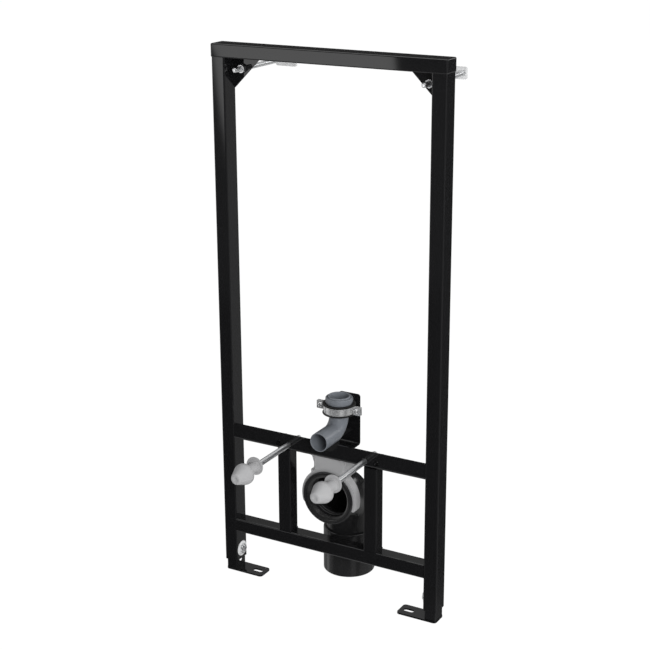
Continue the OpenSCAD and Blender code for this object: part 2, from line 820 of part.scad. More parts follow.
module elbow_holder() {
  back_y = holder_y + holder_depth;
  arm_y = holder_y + arm_depth;
  top = waste_drop;
  color(light_plastic)
  place() difference() {
    union() {
      translate([0, arm_y, waste_z]) rotate([90, 0, 0]) linear_extrude(arm_depth) holder_arms();
      neck_block(holder_shoulder_w, holder_y, arm_y, 20, holder_shoulder_h);
      neck_block(holder_neck_w, holder_y, back_y, neck_low, top - 1);
      neck_block(holder_flange_w, holder_y, back_y, top - holder_t, top);
      translate([0, arm_y - 1, waste_z]) rotate([90, 0, 0]) linear_extrude(arm_depth - 1 - holder_r / 2)
        neck_flares();
    }
    translate([0, 0, waste_z]) along_y() cylinder(r = holder_in, h = mouth_y + barrel_len + 1);
    waste_run(waste_d / 2 + holder_gap, 0, waste_z - waste_drop);
    difference() {
      translate([-holder_neck_w / 2 + holder_t, holder_y + holder_t, waste_z + neck_low + holder_t])
        cube([holder_neck_w - 2 * holder_t, holder_depth, top - neck_low - 2 * holder_t]);
      translate([0, 0, waste_z]) along_y()
        cylinder(r = holder_in + holder_t, h = mouth_y + barrel_len + 1 + holder_t);
      waste_run(waste_d / 2 + holder_gap + holder_t, 0, waste_z - waste_drop);
    }
  }
}

leg(-1);  // left_leg
leg(1);  // right_leg
top_bar();
upper_crossbar();
lower_crossbar();
strut(-1);  // left_strut
strut(1);  // right_strut
corner_gusset(-1);  // left_gusset
corner_gusset(1);  // right_gusset
wall_rod(-1);  // left_wall_rod
wall_rod(1);  // right_wall_rod
wall_nuts(-1);  // left_wall_nuts
wall_nuts(1);  // right_wall_nuts
wall_plate(-1);  // left_wall_plate
wall_plate(1);  // right_wall_plate
foot(-1);  // left_foot
foot(1);  // right_foot
base_plate(-1);  // left_base_plate
base_plate(1);  // right_base_plate
foot_bolt(-1);  // left_foot_bolt
foot_bolt(1);  // right_foot_bolt
foot_washer(-1);  // left_foot_washer
foot_washer(1);  // right_foot_washer
foot_nut(-1);  // left_foot_nut
foot_nut(1);  // right_foot_nut
fixing_rod(-1);  // left_fixing_rod
fixing_rod(1);  // right_fixing_rod
threaded_bushes();
washer(-1);  // left_washer
washer(1);  // right_washer
cone_cap(-1);  // left_cap
cone_cap(1);  // right_cap
clamp_bracket();
clamp_band_front();
clamp_band_rear();
clamp_rubber();
clamp_screws();
clamp_stud();
upper_elbow();
upper_seal();
elbow_holder();
waste_elbow();
waste_seal();
waste_sleeve();
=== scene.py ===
import json
import math

import bmesh
import bpy
from mathutils import Matrix, Vector


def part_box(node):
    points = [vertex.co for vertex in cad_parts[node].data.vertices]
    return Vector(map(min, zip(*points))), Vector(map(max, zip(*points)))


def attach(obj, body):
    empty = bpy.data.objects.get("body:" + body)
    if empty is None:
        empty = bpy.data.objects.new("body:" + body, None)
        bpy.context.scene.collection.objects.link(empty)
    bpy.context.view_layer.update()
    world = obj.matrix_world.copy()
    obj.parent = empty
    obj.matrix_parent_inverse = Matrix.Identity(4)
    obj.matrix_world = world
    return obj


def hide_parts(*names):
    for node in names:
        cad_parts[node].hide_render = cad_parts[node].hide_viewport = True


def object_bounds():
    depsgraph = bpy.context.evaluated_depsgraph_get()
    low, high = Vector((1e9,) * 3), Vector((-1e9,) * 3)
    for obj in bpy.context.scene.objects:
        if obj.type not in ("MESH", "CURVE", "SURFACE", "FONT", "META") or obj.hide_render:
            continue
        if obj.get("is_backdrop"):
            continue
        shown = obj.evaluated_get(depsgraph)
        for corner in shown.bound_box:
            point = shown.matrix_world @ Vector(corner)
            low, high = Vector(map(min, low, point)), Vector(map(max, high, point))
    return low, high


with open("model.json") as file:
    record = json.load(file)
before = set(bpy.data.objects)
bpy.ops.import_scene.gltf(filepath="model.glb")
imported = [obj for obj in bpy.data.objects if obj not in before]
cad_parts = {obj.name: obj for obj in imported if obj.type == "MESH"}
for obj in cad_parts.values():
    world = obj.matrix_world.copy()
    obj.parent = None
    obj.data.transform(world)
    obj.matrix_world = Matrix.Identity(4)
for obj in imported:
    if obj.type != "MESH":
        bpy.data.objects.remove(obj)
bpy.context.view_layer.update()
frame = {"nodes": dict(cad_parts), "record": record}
nodes = frame["nodes"]
bpy.context.scene.view_settings.view_transform = "Standard"

# The frame's own middle, front and floor, so that pieces can be placed in millimetres
barLow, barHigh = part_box("lower_crossbar")
midX = (barLow.x + barHigh.x) / 2
frontY = barLow.y
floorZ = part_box("left_base_plate")[0].z


def at(x, y, z):
    return Vector((midX + x / 1000, frontY + y / 1000, floorZ + z / 1000))


def boxOf(name):
    low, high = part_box(name)
    return low, high, (low + high) / 2


# ---- camera ----
cameraSettings = {
    "place": (1378.48, -2421.13, 1509.35),  # mm from the frame's middle, front and floor
    "yaw": 0.5174,
    "pitch": 0.3151,
    "roll": -0.0057,
    "focal": 1469.74,  # in pixels of a 650 pixel wide picture
    "frameWidth": 650,
    "shift": 0.5,  # pixels, to the right and down
}


def makeCamera(s):
    sy, cy = math.sin(s["yaw"]), math.cos(s["yaw"])
    sp, cp = math.sin(s["pitch"]), math.cos(s["pitch"])
    right = Vector((cy, sy, 0))
    level = Vector((-sy, cy, 0))
    up = Vector((0, 0, 1))
    forward = level * cp - up * sp
    above = level * sp + up * cp
    sr, cr = math.sin(s["roll"]), math.cos(s["roll"])
    across = right * cr + above * sr
    above = above * cr - right * sr
    data = bpy.data.cameras.new("camera")
    data.sensor_width = 36
    data.lens = 36 * s["focal"] / s["frameWidth"]
    data.shift_x, data.shift_y = -s["shift"] / s["frameWidth"], s["shift"] / s["frameWidth"]
    data.clip_start, data.clip_end = 0.05, 50
    camera = bpy.data.objects.new("camera", data)
    bpy.context.scene.collection.objects.link(camera)
    m = Matrix((across, above, -forward)).transposed().to_4x4()
    m.translation = at(*s["place"])
    camera.matrix_world = m
    bpy.context.scene.camera = camera


makeCamera(cameraSettings)
print("camera made")


# ---- shader helpers ----
def wire(tree, *pairs):
    for a, b in pairs:
        tree.links.new(a, b)


def mathNode(tree, operation, a, b=None, c=None, clamp=False):
    n = tree.nodes.new("ShaderNodeMath")
    n.operation = operation
    n.use_clamp = clamp
    for i, v in enumerate((a, b, c)):
        if v is None:
            continue
        if isinstance(v, (int, float)):
            n.inputs[i].default_value = v
        else:
            tree.links.new(v, n.inputs[i])
    return n.outputs[0]


def smoothStep(tree, value, low, high):
    n = tree.nodes.new("ShaderNodeMapRange")
    n.interpolation_type = "SMOOTHSTEP"
    n.inputs["From Min"].default_value = low
    n.inputs["From Max"].default_value = high
    tree.links.new(value, n.inputs["Value"])
    return n.outputs["Result"]


# ---- studio ----
studio = {
    # angles in degrees; sides are turned to the left of straight in front, or to the right of straight behind
    "background": 1.3,
    "ambient": 0.26,  # what lights the matt parts: more from the right and from above
    "ambientRight": 1.45,
    "ambientUp": 0.2,
    "ambientLeast": 0.3,
    "room": 0.05,  # what gloss sees of the dim room round the softboxes
    "leftBox": 2.15,  # softbox to the left in front
    "leftBoxSides": (26.72, 26.98, 33.62, 33.92),
    "leftBoxRise": (-13, -9.4, 4, 7),
    "leftBoxLean": 0.12,  # its far side leans
    "frontWall": 0.08,
    "frontWallSides": (10, 18, 50, 60),
    "frontWallRise": (-18, -15.5, -9, -6),
    "frontBox": 1.3,  # high softbox to the right in front
    "frontBoxSides": (18, 26, 70, 80),
    "frontBoxRise": (22, 30, 58, 66),
    "rightBox": 4.5,  # low softbox behind to the right
    "rightBoxSides": (12, 20, 60, 72),
    "rightBoxRise": (9.5, 12, 16, 18),
    "rightWall": 0.26,
    "rightWallSides": (28, 33, 95, 110),
    "rightWallRise": (-60, -40, 70, 80),
    "leftStrip": 0.75,  # upright strips that round things show as stripes
    "leftStripSides": (70, 76, 88, 95),
    "leftStripRise": (-45, -35, 10, 20),
    "rightStrip": 0.35,
    "rightStripSides": (34, 38, 57, 62),
    "rightStripRise": (-45, -35, -5, 0),
    "backStrip": 0.5,
    "backStripSides": (1, 5, 17, 21),
    "backStripRise": (-45, -35, -12, -6),
    "backWall": 0.5,
    "backWallReach": (0.2, 0.7),
    "backWallRise": (21, 31),
    "leftWall": 0.75,  # pale wall far to the left
    "leftWallSides": (44, 56, 125, 140),
    "leftWallRise": (-35, -15, 60, 75),
    "topBox": 1.7,
    "topBoxRise": (48, 56),
    "ground": 0.6,  # pale ground far below
    "groundRise": (-27, -36),
}
lampSettings = {
    # place in mm, size in m, power in W
    "keyLamp": ((2200, -2050, 1450), (1.4, 1.4), 75),
    "leftLamp": ((-2300, -2900, 1300), (1.6, 2.0), 10),
}
floorSettings = {"reach": 14, "colour": (0.86, 0.86, 0.86), "glow": 1.06, "glowShare": 0.93}


def makeWorld(s):
    world = bpy.data.worlds.new("studio")
    bpy.context.scene.world = world
    world.use_nodes = True
    world.cycles.sampling_method = "NONE"
    t = world.node_tree
    t.nodes.clear()
    where = t.nodes.new("ShaderNodeTexCoord").outputs["Generated"]
    parts = t.nodes.new("ShaderNodeSeparateXYZ")
    t.links.new(where, parts.inputs[0])
    x, y, z = parts.outputs
    toDegrees = 180 / math.pi
    rise = mathNode(t, "MULTIPLY", mathNode(t, "ARCSINE", z), toDegrees)
    leftTurn = mathNode(t, "MULTIPLY", mathNode(t, "ARCTAN2", mathNode(t, "MULTIPLY", x, -1),
                                                mathNode(t, "MULTIPLY", y, -1)), toDegrees)
    backTurn = mathNode(t, "MULTIPLY", mathNode(t, "ARCTAN2", x, y), toDegrees)

    def product(*values):
        out = values[0]
        for v in values[1:]:
            out = mathNode(t, "MULTIPLY", out, v)
        return out

    def box(turn, sides, height, level):
        return product(smoothStep(t, turn, *sides[:2]), smoothStep(t, turn, sides[3], sides[2]),
                       smoothStep(t, rise, *height[:2]), smoothStep(t, rise, height[3], height[2]), level)

    rightTurn = mathNode(t, "MULTIPLY", leftTurn, -1)
    near, full, farFull, farEnd = s["leftBoxSides"]
    leaned = mathNode(t, "MULTIPLY_ADD", rise, -s["leftBoxLean"], mathNode(t, "SUBTRACT", leftTurn, 9 * s["leftBoxLean"]))
    boxRise = s["leftBoxRise"]
    shapes = [
        product(smoothStep(t, leftTurn, near, full), smoothStep(t, leaned, farEnd, farFull),
                smoothStep(t, rise, *boxRise[:2]), smoothStep(t, rise, boxRise[3], boxRise[2]), s["leftBox"]),
        product(smoothStep(t, y, *s["backWallReach"]), smoothStep(t, rise, *s["backWallRise"]), s["backWall"]),
        product(smoothStep(t, rise, *s["topBoxRise"]), s["topBox"]),
        product(smoothStep(t, rise, *s["groundRise"]), s["ground"]),
    ]
    for turn, name in ((leftTurn, "frontWall"), (rightTurn, "frontBox"), (backTurn, "rightBox"),
                       (backTurn, "rightWall"), (leftTurn, "leftWall"), (leftTurn, "leftStrip"),
                       (rightTurn, "rightStrip"), (backTurn, "backStrip")):
        shapes.append(box(turn, s[name + "Sides"], s[name + "Rise"], s[name]))
    room = s["room"]
    for shape in shapes:
        room = mathNode(t, "ADD", shape, room)
    path = t.nodes.new("ShaderNodeLightPath")
    shiny = mathNode(t, "MAXIMUM", path.outputs["Is Glossy Ray"], path.outputs["Is Transmission Ray"])
    mixA = t.nodes.new("ShaderNodeMix")
    mixA.data_type = "FLOAT"
    around = mathNode(t, "MULTIPLY_ADD", x, s["ambientRight"], mathNode(t, "MULTIPLY_ADD", z, s["ambientUp"], s["ambient"]))
    around = mathNode(t, "MAXIMUM", around, s["ambientLeast"])
    wire(t, (shiny, mixA.inputs["Factor"]), (around, mixA.inputs["A"]), (room, mixA.inputs["B"]))
    mixB = t.nodes.new("ShaderNodeMix")
    mixB.data_type = "FLOAT"
    mixB.inputs["B"].default_value = s["background"]
    wire(t, (path.outputs["Is Camera Ray"], mixB.inputs["Factor"]), (mixA.outputs[0], mixB.inputs["A"]))
    background = t.nodes.new("ShaderNodeBackground")
    out = t.nodes.new("ShaderNodeOutputWorld")
    wire(t, (mixB.outputs[0], background.inputs["Strength"]), (background.outputs[0], out.inputs[0]))


def areaLamp(name, place, target, size, power):
    data = bpy.data.lights.new(name, "AREA")
    data.shape = "RECTANGLE"
    data.size, data.size_y = size
    data.energy = power
    lamp = bpy.data.objects.new(name, data)
    bpy.context.scene.collection.objects.link(lamp)
    lamp.location = place
    lamp.visible_glossy = False
    lamp.rotation_euler = (target - place).to_track_quat("-Z", "Y").to_euler()
    return lamp


def makeFloor(s):
    mesh = bpy.data.meshes.new("floor")
    h = s["reach"]
    z = floorZ - 0.0005
    mesh.from_pydata([(-h, -h, z), (h, -h, z), (h, h, z), (-h, h, z)], [], [(0, 1, 2, 3)])
    floor = bpy.data.objects.new("floor", mesh)
    bpy.context.scene.collection.objects.link(floor)
    m = bpy.data.materials.new("paleFloor")
    m.use_nodes = True
    t = m.node_tree
    t.nodes.clear()
    plain = t.nodes.new("ShaderNodeBsdfDiffuse")
    plain.inputs["Color"].default_value = (*s["colour"], 1)
    glow = t.nodes.new("ShaderNodeEmission")
    glow.inputs["Strength"].default_value = s["glow"]
    mix = t.nodes.new("ShaderNodeMixShader")
    path = t.nodes.new("ShaderNodeLightPath")
    seen = mathNode(t, "MAXIMUM", path.outputs["Is Camera Ray"],
                    mathNode(t, "MAXIMUM", path.outputs["Is Glossy Ray"], path.outputs["Is Transmission Ray"]))
    share = mathNode(t, "MULTIPLY", seen, s["glowShare"])
    out = t.nodes.new("ShaderNodeOutputMaterial")
    wire(t, (share, mix.inputs[0]), (plain.outputs[0], mix.inputs[1]), (glow.outputs[0], mix.inputs[2]),
         (mix.outputs[0], out.inputs[0]))
    mesh.materials.append(m)
    floor.visible_glossy = False
    floor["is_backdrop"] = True


makeWorld(studio)
for name, (place, size, power) in lampSettings.items():
    areaLamp(name, at(*place), at(0, 0, 560), size, power)
makeFloor(floorSettings)
print("studio made")


# ---- shared shader effects ----
def newGroup(name, inputs, outputs):
    g = bpy.data.node_groups.new(name, "ShaderNodeTree")
    for label, kind, value in inputs:
        s = g.interface.new_socket(name=label, in_out="INPUT", socket_type=kind)
        if value is not None:
            s.default_value = value
    for label, kind in outputs:
        g.interface.new_socket(name=label, in_out="OUTPUT", socket_type=kind)
    return g, g.nodes.new("NodeGroupInput"), g.nodes.new("NodeGroupOutput")


def makeSurfaceGroup():
    g, gin, gout = newGroup(
        "surfaceGrain",
        [("Grain Size", "NodeSocketFloat", 900.0), ("Patch Size", "NodeSocketFloat", 30.0),
         ("Colour", "NodeSocketColor", (0.5, 0.5, 0.5, 1)), ("Colour Change", "NodeSocketFloat", 0.06),
         ("Roughness", "NodeSocketFloat", 0.4), ("Roughness Change", "NodeSocketFloat", 0.05)],
        [("Colour", "NodeSocketColor"), ("Roughness", "NodeSocketFloat"), ("Height", "NodeSocketFloat")])
    place = g.nodes.new("ShaderNodeTexCoord").outputs["Object"]
    fine = g.nodes.new("ShaderNodeTexNoise")
    fine.inputs["Detail"].default_value = 2
    broad = g.nodes.new("ShaderNodeTexNoise")
    broad.inputs["Detail"].default_value = 4
    wire(g, (place, fine.inputs["Vector"]), (place, broad.inputs["Vector"]),
         (gin.outputs["Grain Size"], fine.inputs["Scale"]), (gin.outputs["Patch Size"], broad.inputs["Scale"]))
    swing = mathNode(g, "MULTIPLY", mathNode(g, "SUBTRACT", broad.outputs["Fac"], 0.5), 2)
    shade = mathNode(g, "MULTIPLY_ADD", swing, gin.outputs["Colour Change"], 1.0)
    tint = g.nodes.new("ShaderNodeVectorMath")
    tint.operation = "SCALE"
    wire(g, (gin.outputs["Colour"], tint.inputs[0]), (shade, tint.inputs["Scale"]))
    rough = mathNode(g, "MULTIPLY_ADD", swing, gin.outputs["Roughness Change"], gin.outputs["Roughness"])
    wire(g, (tint.outputs[0], gout.inputs["Colour"]), (rough, gout.inputs["Roughness"]),
         (fine.outputs["Fac"], gout.inputs["Height"]))
    return g


def makeDustGroup():
    # pale dust that settles on what faces up, in loose patches
    g, gin, gout = newGroup(
        "settledDust",
        [("Colour", "NodeSocketColor", (0.5, 0.5, 0.5, 1)), ("Roughness", "NodeSocketFloat", 0.4),
         ("Dust Colour", "NodeSocketColor", (0.2, 0.195, 0.18, 1)), ("Amount", "NodeSocketFloat", 0.1),
         ("Patch Size", "NodeSocketFloat", 60.0)],
        [("Colour", "NodeSocketColor"), ("Roughness", "NodeSocketFloat")])
    place = g.nodes.new("ShaderNodeTexCoord").outputs["Object"]
    patches = g.nodes.new("ShaderNodeTexNoise")
    patches.inputs["Detail"].default_value = 6
    facing = g.nodes.new("ShaderNodeSeparateXYZ")
    wire(g, (place, patches.inputs["Vector"]), (gin.outputs["Patch Size"], patches.inputs["Scale"]),
         (g.nodes.new("ShaderNodeNewGeometry").outputs["Normal"], facing.inputs[0]))
    up = smoothStep(g, facing.outputs[2], 0.4, 0.95)
    loose = smoothStep(g, patches.outputs["Fac"], 0.35, 0.7)
    share = mathNode(g, "MULTIPLY", mathNode(g, "MULTIPLY", up, loose), gin.outputs["Amount"])
    tint = g.nodes.new("ShaderNodeMix")
    tint.data_type = "RGBA"
    wire(g, (share, tint.inputs[0]), (gin.outputs["Colour"], tint.inputs[6]), (gin.outputs["Dust Colour"], tint.inputs[7]))
    rough = mathNode(g, "MULTIPLY_ADD", share, 0.5, gin.outputs["Roughness"])
    wire(g, (tint.outputs[2], gout.inputs["Colour"]), (rough, gout.inputs["Roughness"]))
    return g


def makeEndHighlightGroup():
    # painted highlight: faces square to the rods, such as nut faces, screw heads and rod ends, get a paler, less
    # metallic colour so that they read bright
    g, gin, gout = newGroup(
        "paintedEndHighlight",
        [("Colour", "NodeSocketColor", (0.5, 0.5, 0.5, 1)), ("Metallic", "NodeSocketFloat", 1.0),
         ("End Highlight Colour", "NodeSocketColor", (0.8, 0.8, 0.8, 1)), ("End Highlight Metallic", "NodeSocketFloat", 0.3)],
        [("Colour", "NodeSocketColor"), ("Metallic", "NodeSocketFloat")])
    parts = g.nodes.new("ShaderNodeSeparateXYZ")
    wire(g, (g.nodes.new("ShaderNodeNewGeometry").outputs["Normal"], parts.inputs[0]))
    share = smoothStep(g, mathNode(g, "ABSOLUTE", parts.outputs[1]), 0.93, 0.97)
    tint = g.nodes.new("ShaderNodeMix")
    tint.data_type = "RGBA"
    level = g.nodes.new("ShaderNodeMix")
    level.data_type = "FLOAT"
    wire(g, (share, tint.inputs[0]), (gin.outputs["Colour"], tint.inputs[6]), (gin.outputs["End Highlight Colour"], tint.inputs[7]),
         (share, level.inputs[0]), (gin.outputs["Metallic"], level.inputs[2]), (gin.outputs["End Highlight Metallic"], level.inputs[3]),
         (tint.outputs[2], gout.inputs["Colour"]), (level.outputs[0], gout.inputs["Metallic"]))
    return g


surfaceGroup = makeSurfaceGroup()
dustGroup = makeDustGroup()
endHighlightGroup = makeEndHighlightGroup()


def makeFinish(name, s):
    m = bpy.data.materials.new(name)
    m.use_nodes = True
    t = m.node_tree
    p = t.nodes["Principled BSDF"]
    grain = t.nodes.new("ShaderNodeGroup")
    grain.node_tree = surfaceGroup
    grain.inputs["Grain Size"].default_value = s["grain"]
    grain.inputs["Patch Size"].default_value = s.get("patch", 30)
    grain.inputs["Colour"].default_value = (*s["colour"], 1)
    grain.inputs["Colour Change"].default_value = s.get("colourChange", 0.06)
    grain.inputs["Roughness"].default_value = s["rough"]
    grain.inputs["Roughness Change"].default_value = s.get("roughChange", 0.04)
    dust = t.nodes.new("ShaderNodeGroup")
    dust.node_tree = dustGroup
    dust.inputs["Amount"].default_value = s.get("dust", 0.02)
    dust.inputs["Dust Colour"].default_value = (*s.get("dustColour", (0.16, 0.155, 0.14)), 1)
    bump = t.nodes.new("ShaderNodeBump")
    bump.inputs["Strength"].default_value = s["bump"]
    bump.inputs["Distance"].default_value = s.get("depth", 0.0001)
    wire(t, (grain.outputs["Colour"], dust.inputs["Colour"]), (grain.outputs["Roughness"], dust.inputs["Roughness"]),
         (dust.outputs["Colour"], p.inputs["Base Color"]), (dust.outputs["Roughness"], p.inputs["Roughness"]),
         (grain.outputs["Height"], bump.inputs["Height"]), (bump.outputs["Normal"], p.inputs["Normal"]))
    p.inputs["Metallic"].default_value = s.get("metal", 0)
    # painted highlight: faces square to the rods take the paler, less metallic end colour
    if "endHighlightColour" in s:
        ends = t.nodes.new("ShaderNodeGroup")
        ends.node_tree = endHighlightGroup
        ends.inputs["Metallic"].default_value = s["metal"]
        ends.inputs["End Highlight Colour"].default_value = (*s["endHighlightColour"], 1)
        ends.inputs["End Highlight Metallic"].default_value = s["endHighlightMetal"]
        wire(t, (dust.outputs["Colour"], ends.inputs["Colour"]), (ends.outputs["Colour"], p.inputs["Base Color"]),
             (ends.outputs["Metallic"], p.inputs["Metallic"]))
    p.inputs["IOR"].default_value = s.get("ior", 1.5)
    return m


finishes = {
    "blackCoat": {"colour": (0.006, 0.006, 0.0065), "rough": 0.03, "grain": 420, "bump": 0.005, "roughChange": 0.006},
    # zinc's end colour and end metal are a painted highlight on faces square to the rods
    "zinc": {"colour": (0.8, 0.81, 0.82), "rough": 0.3, "roughChange": 0.02, "grain": 1400, "bump": 0, "metal": 0.96,
             "endHighlightColour": (0.85, 0.85, 0.86), "endHighlightMetal": 0.25},
    "zincSheet": {"colour": (0.8, 0.805, 0.81), "rough": 0.4, "grain": 900, "patch": 160, "bump": 0,
                  "colourChange": 0.06, "roughChange": 0.06, "metal": 0.35},
    "zincBand": {"colour": (0.76, 0.765, 0.77), "rough": 0.24, "grain": 900, "patch": 160, "bump": 0,
                 "colourChange": 0.03, "roughChange": 0.01, "metal": 0.8},
    # painted shade: near-black steel so that the spare holes, which show the bushes, read dark
    "holeShadeSteel": {"colour": (0.03, 0.03, 0.032), "rough": 0.35, "grain": 1400, "bump": 0.05, "metal": 0.7},
    "palePlastic": {"colour": (0.315, 0.315, 0.32), "rough": 0.42, "grain": 1600, "bump": 0.02, "colourChange": 0.03},
    "greyPlastic": {"colour": (0.135, 0.146, 0.163), "rough": 0.34, "grain": 1600, "bump": 0.02},
    "greyRubber": {"colour": (0.15, 0.162, 0.18), "rough": 0.5, "grain": 1600, "bump": 0.03},
    "blackPlastic": {"colour": (0.01, 0.01, 0.0105), "rough": 0.2, "grain": 1500, "bump": 0.015},
    "rubber": {"colour": (0.006, 0.006, 0.006), "ior": 1.3, "rough": 0.5, "grain": 1200, "bump": 0.05},
    "lipRubber": {"colour": (0.013, 0.013, 0.013), "rough": 0.16, "grain": 1200, "bump": 0.02},
}
materials = {name: makeFinish(name, s) for name, s in finishes.items()}
finishOfSlot = {"black_coat": "blackCoat", "zinc": "zinc", "pale_plastic": "palePlastic",
                "grey_plastic": "greyPlastic", "black_plastic": "blackPlastic", "rubber": "rubber"}
# the threaded bushes get the painted-shade steel so that the spare holes read dark
otherFinish = {"threaded_bushes": "holeShadeSteel", "upper_seal": "greyRubber",
               "left_wall_plate": "zincSheet", "right_wall_plate": "zincSheet",
               "clamp_band_front": "zincBand", "clamp_band_rear": "zincBand", "waste_seal": "lipRubber",
               "left_foot_washer": "zincSheet", "right_foot_washer": "zincSheet"}
slotOf = {row["node"]: row["material_slot"] for row in frame["record"]["subparts"]}
finishOf = {name: otherFinish.get(name, finishOfSlot[slotOf[name]]) for name in nodes}
for name, node in nodes.items():
    node.data.materials.clear()
    node.data.materials.append(materials[finishOf[name]])
print("finishes given to", len(nodes), "nodes")


# ---- mesh helpers ----
axisX, axisY, axisZ = Vector((1, 0, 0)), Vector((0, 1, 0)), Vector((0, 0, 1))
bodyOf = {n: body for body, names in frame["record"]["behaviour"]["bodies"].items() for n in names}


def mm(value):
    return value / 1000


def arcPoints(middle, r, start, end, steps=6):
    out = []
    for i in range(steps + 1):
        a = math.radians(start + (end - start) * i / steps)
        out.append((middle[0] + r * math.cos(a), middle[1] + r * math.sin(a)))
    return out


def circleRing(centre, u, v, r, count):
    return [centre + (u * math.cos(2 * math.pi * i / count) + v * math.sin(2 * math.pi * i / count)) * mm(r)
            for i in range(count)]


def shaded(mesh, sharp=38):
    mesh.shade_smooth()
    mesh.set_sharp_from_angle(angle=math.radians(sharp))
    return mesh


def bakeDown(obj):
    # the evaluated object as a plain mesh; the helper object and its modifiers go
    bpy.context.view_layer.update()
    mesh = bpy.data.meshes.new_from_object(obj.evaluated_get(bpy.context.evaluated_depsgraph_get()))
    bpy.data.objects.remove(obj)
    return mesh


def helper(mesh):
    obj = bpy.data.objects.new("helper", mesh)
    bpy.context.scene.collection.objects.link(obj)
    return obj


def evenShade(mesh, sharp=38):
    # smooth shading in which flat faces keep their own direction beside small roundings
    obj = helper(shaded(mesh, sharp))
    m = obj.modifiers.new("even", "WEIGHTED_NORMAL")
    m.keep_sharp = True
    m.weight = 50
    return bakeDown(obj)


def ringMesh(name, rings, loop=False, capStart=False, capEnd=False, sharp=38):
    # rings of equal count joined one to the next; loop joins the last to the first
    bm = bmesh.new()
    rows = [[bm.verts.new(p) for p in ring] for ring in rings]
    count = len(rows[0])
    pairs = list(zip(rows, rows[1:])) + ([(rows[-1], rows[0])] if loop else [])
    for one, two in pairs:
        for i in range(count):
            j = (i + 1) % count
            bm.faces.new((one[i], one[j], two[j], two[i]))
    if capStart:
        bm.faces.new(rows[0])
    if capEnd:
        bm.faces.new(rows[-1])
    bmesh.ops.remove_doubles(bm, verts=bm.verts, dist=1e-6)
    bmesh.ops.recalc_face_normals(bm, faces=bm.faces)
    mesh = bpy.data.meshes.new(name)
    bm.to_mesh(mesh)
    bm.free()
    return evenShade(mesh, sharp)


def lathe(name, profile, centre, along=axisY, count=72, sharp=38, lift=None):
    # profile: (radius, place along the axis) in millimetres, as a closed loop; lift moves single rings sideways
    u = axisX if along != axisX else axisY
    v = axisZ if along != axisZ else axisY
    rings = []
    for k, (r, h) in enumerate(profile):
        shift = Vector((0, 0, mm(lift[k]))) if lift else Vector((0, 0, 0))
        rings.append(circleRing(centre + along * mm(h) + shift, u, v, max(r, 1e-4), count))
    return ringMesh(name, rings, loop=True, sharp=sharp)


def addPiece(name, mesh, body, finish, replaces=()):
    piece = bpy.data.objects.new(name, mesh)
    bpy.context.scene.collection.objects.link(piece)
    mesh.materials.clear()
    mesh.materials.append(materials[finish])
    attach(piece, body)
    if replaces:
        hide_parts(*replaces)
    return piece


def standIn(node, mesh, name=None, finish=None):
    return addPiece(name or node + "_detail", mesh, bodyOf[node], finish or finishOf[node], (node,))


def cutAway(mesh, cutters):
    obj = helper(mesh)
    tools = []
    for c in cutters:
        tool = helper(c)
        tools.append(tool)
        m = obj.modifiers.new("cut", "BOOLEAN")
        m.operation, m.solver, m.object = "DIFFERENCE", "EXACT", tool
    out = bakeDown(obj)
    for tool in tools:
        bpy.data.objects.remove(tool)
    return out


def softened(node, width, segments=2, limit=35, sharp=30):
    # a merged copy of a CAD node whose sharp edges are rounded
    bm = bmesh.new()
    bm.from_mesh(nodes[node].data)
    bmesh.ops.remove_doubles(bm, verts=bm.verts, dist=2e-6)
    bmesh.ops.dissolve_limit(bm, angle_limit=math.radians(0.6), verts=bm.verts, edges=bm.edges)
    mesh = bpy.data.meshes.new(node)
    bm.to_mesh(mesh)
    bm.free()
    obj = helper(mesh)
    m = obj.modifiers.new("round", "BEVEL")
    m.width, m.segments = mm(width), segments
    m.limit_method, m.angle_limit = "ANGLE", math.radians(limit)
    m.use_clamp_overlap = True
    return evenShade(bakeDown(obj), sharp)


def prism(name, outline, along, start, length, u, v):
    # outline: (u, v) points in millimetres from the start point, drawn out along an axis
    rings = [[start + u * mm(a) + v * mm(b) + along * mm(h) for a, b in outline] for h in (0, length)]
    return ringMesh(name, rings, capStart=True, capEnd=True, sharp=30)


# ---- geometry node helpers ----
def newTree(name, inputs):
    g = bpy.data.node_groups.new(name, "GeometryNodeTree")
    g.interface.new_socket(name="Geometry", in_out="INPUT", socket_type="NodeSocketGeometry")
    for label, kind, value in inputs:
        s = g.interface.new_socket(name=label, in_out="INPUT", socket_type=kind)
        if value is not None:
            s.default_value = value
    g.interface.new_socket(name="Geometry", in_out="OUTPUT", socket_type="NodeSocketGeometry")
    return g, g.nodes.new("NodeGroupInput"), g.nodes.new("NodeGroupOutput")


def endTree(g, gin, gout, geometry):
    real = g.nodes.new("GeometryNodeRealizeInstances")
    smooth = g.nodes.new("GeometryNodeSetShadeSmooth")
    paint = g.nodes.new("GeometryNodeSetMaterial")
    wire(g, (geometry, smooth.inputs["Geometry"]), (smooth.outputs[0], real.inputs["Geometry"]),
         (real.outputs[0], paint.inputs["Geometry"]), (gin.outputs["Material"], paint.inputs["Material"]),
         (paint.outputs[0], gout.inputs[0]))


def grow(tree, mesh, values):
    # runs a tree on a helper object and gives back the plain mesh
    obj = helper(mesh)
    m = obj.modifiers.new("grow", "NODES")
    m.node_group = tree
    for item in tree.interface.items_tree:
        if item.item_type == "SOCKET" and item.in_out == "INPUT" and item.name in values:
            m[item.identifier] = values[item.name]
    return bakeDown(obj)


def lineMesh(points):
    mesh = bpy.data.meshes.new("line")
    mesh.from_pydata([tuple(p) for p in points], [(i, i + 1) for i in range(len(points) - 1)], [])
    return mesh


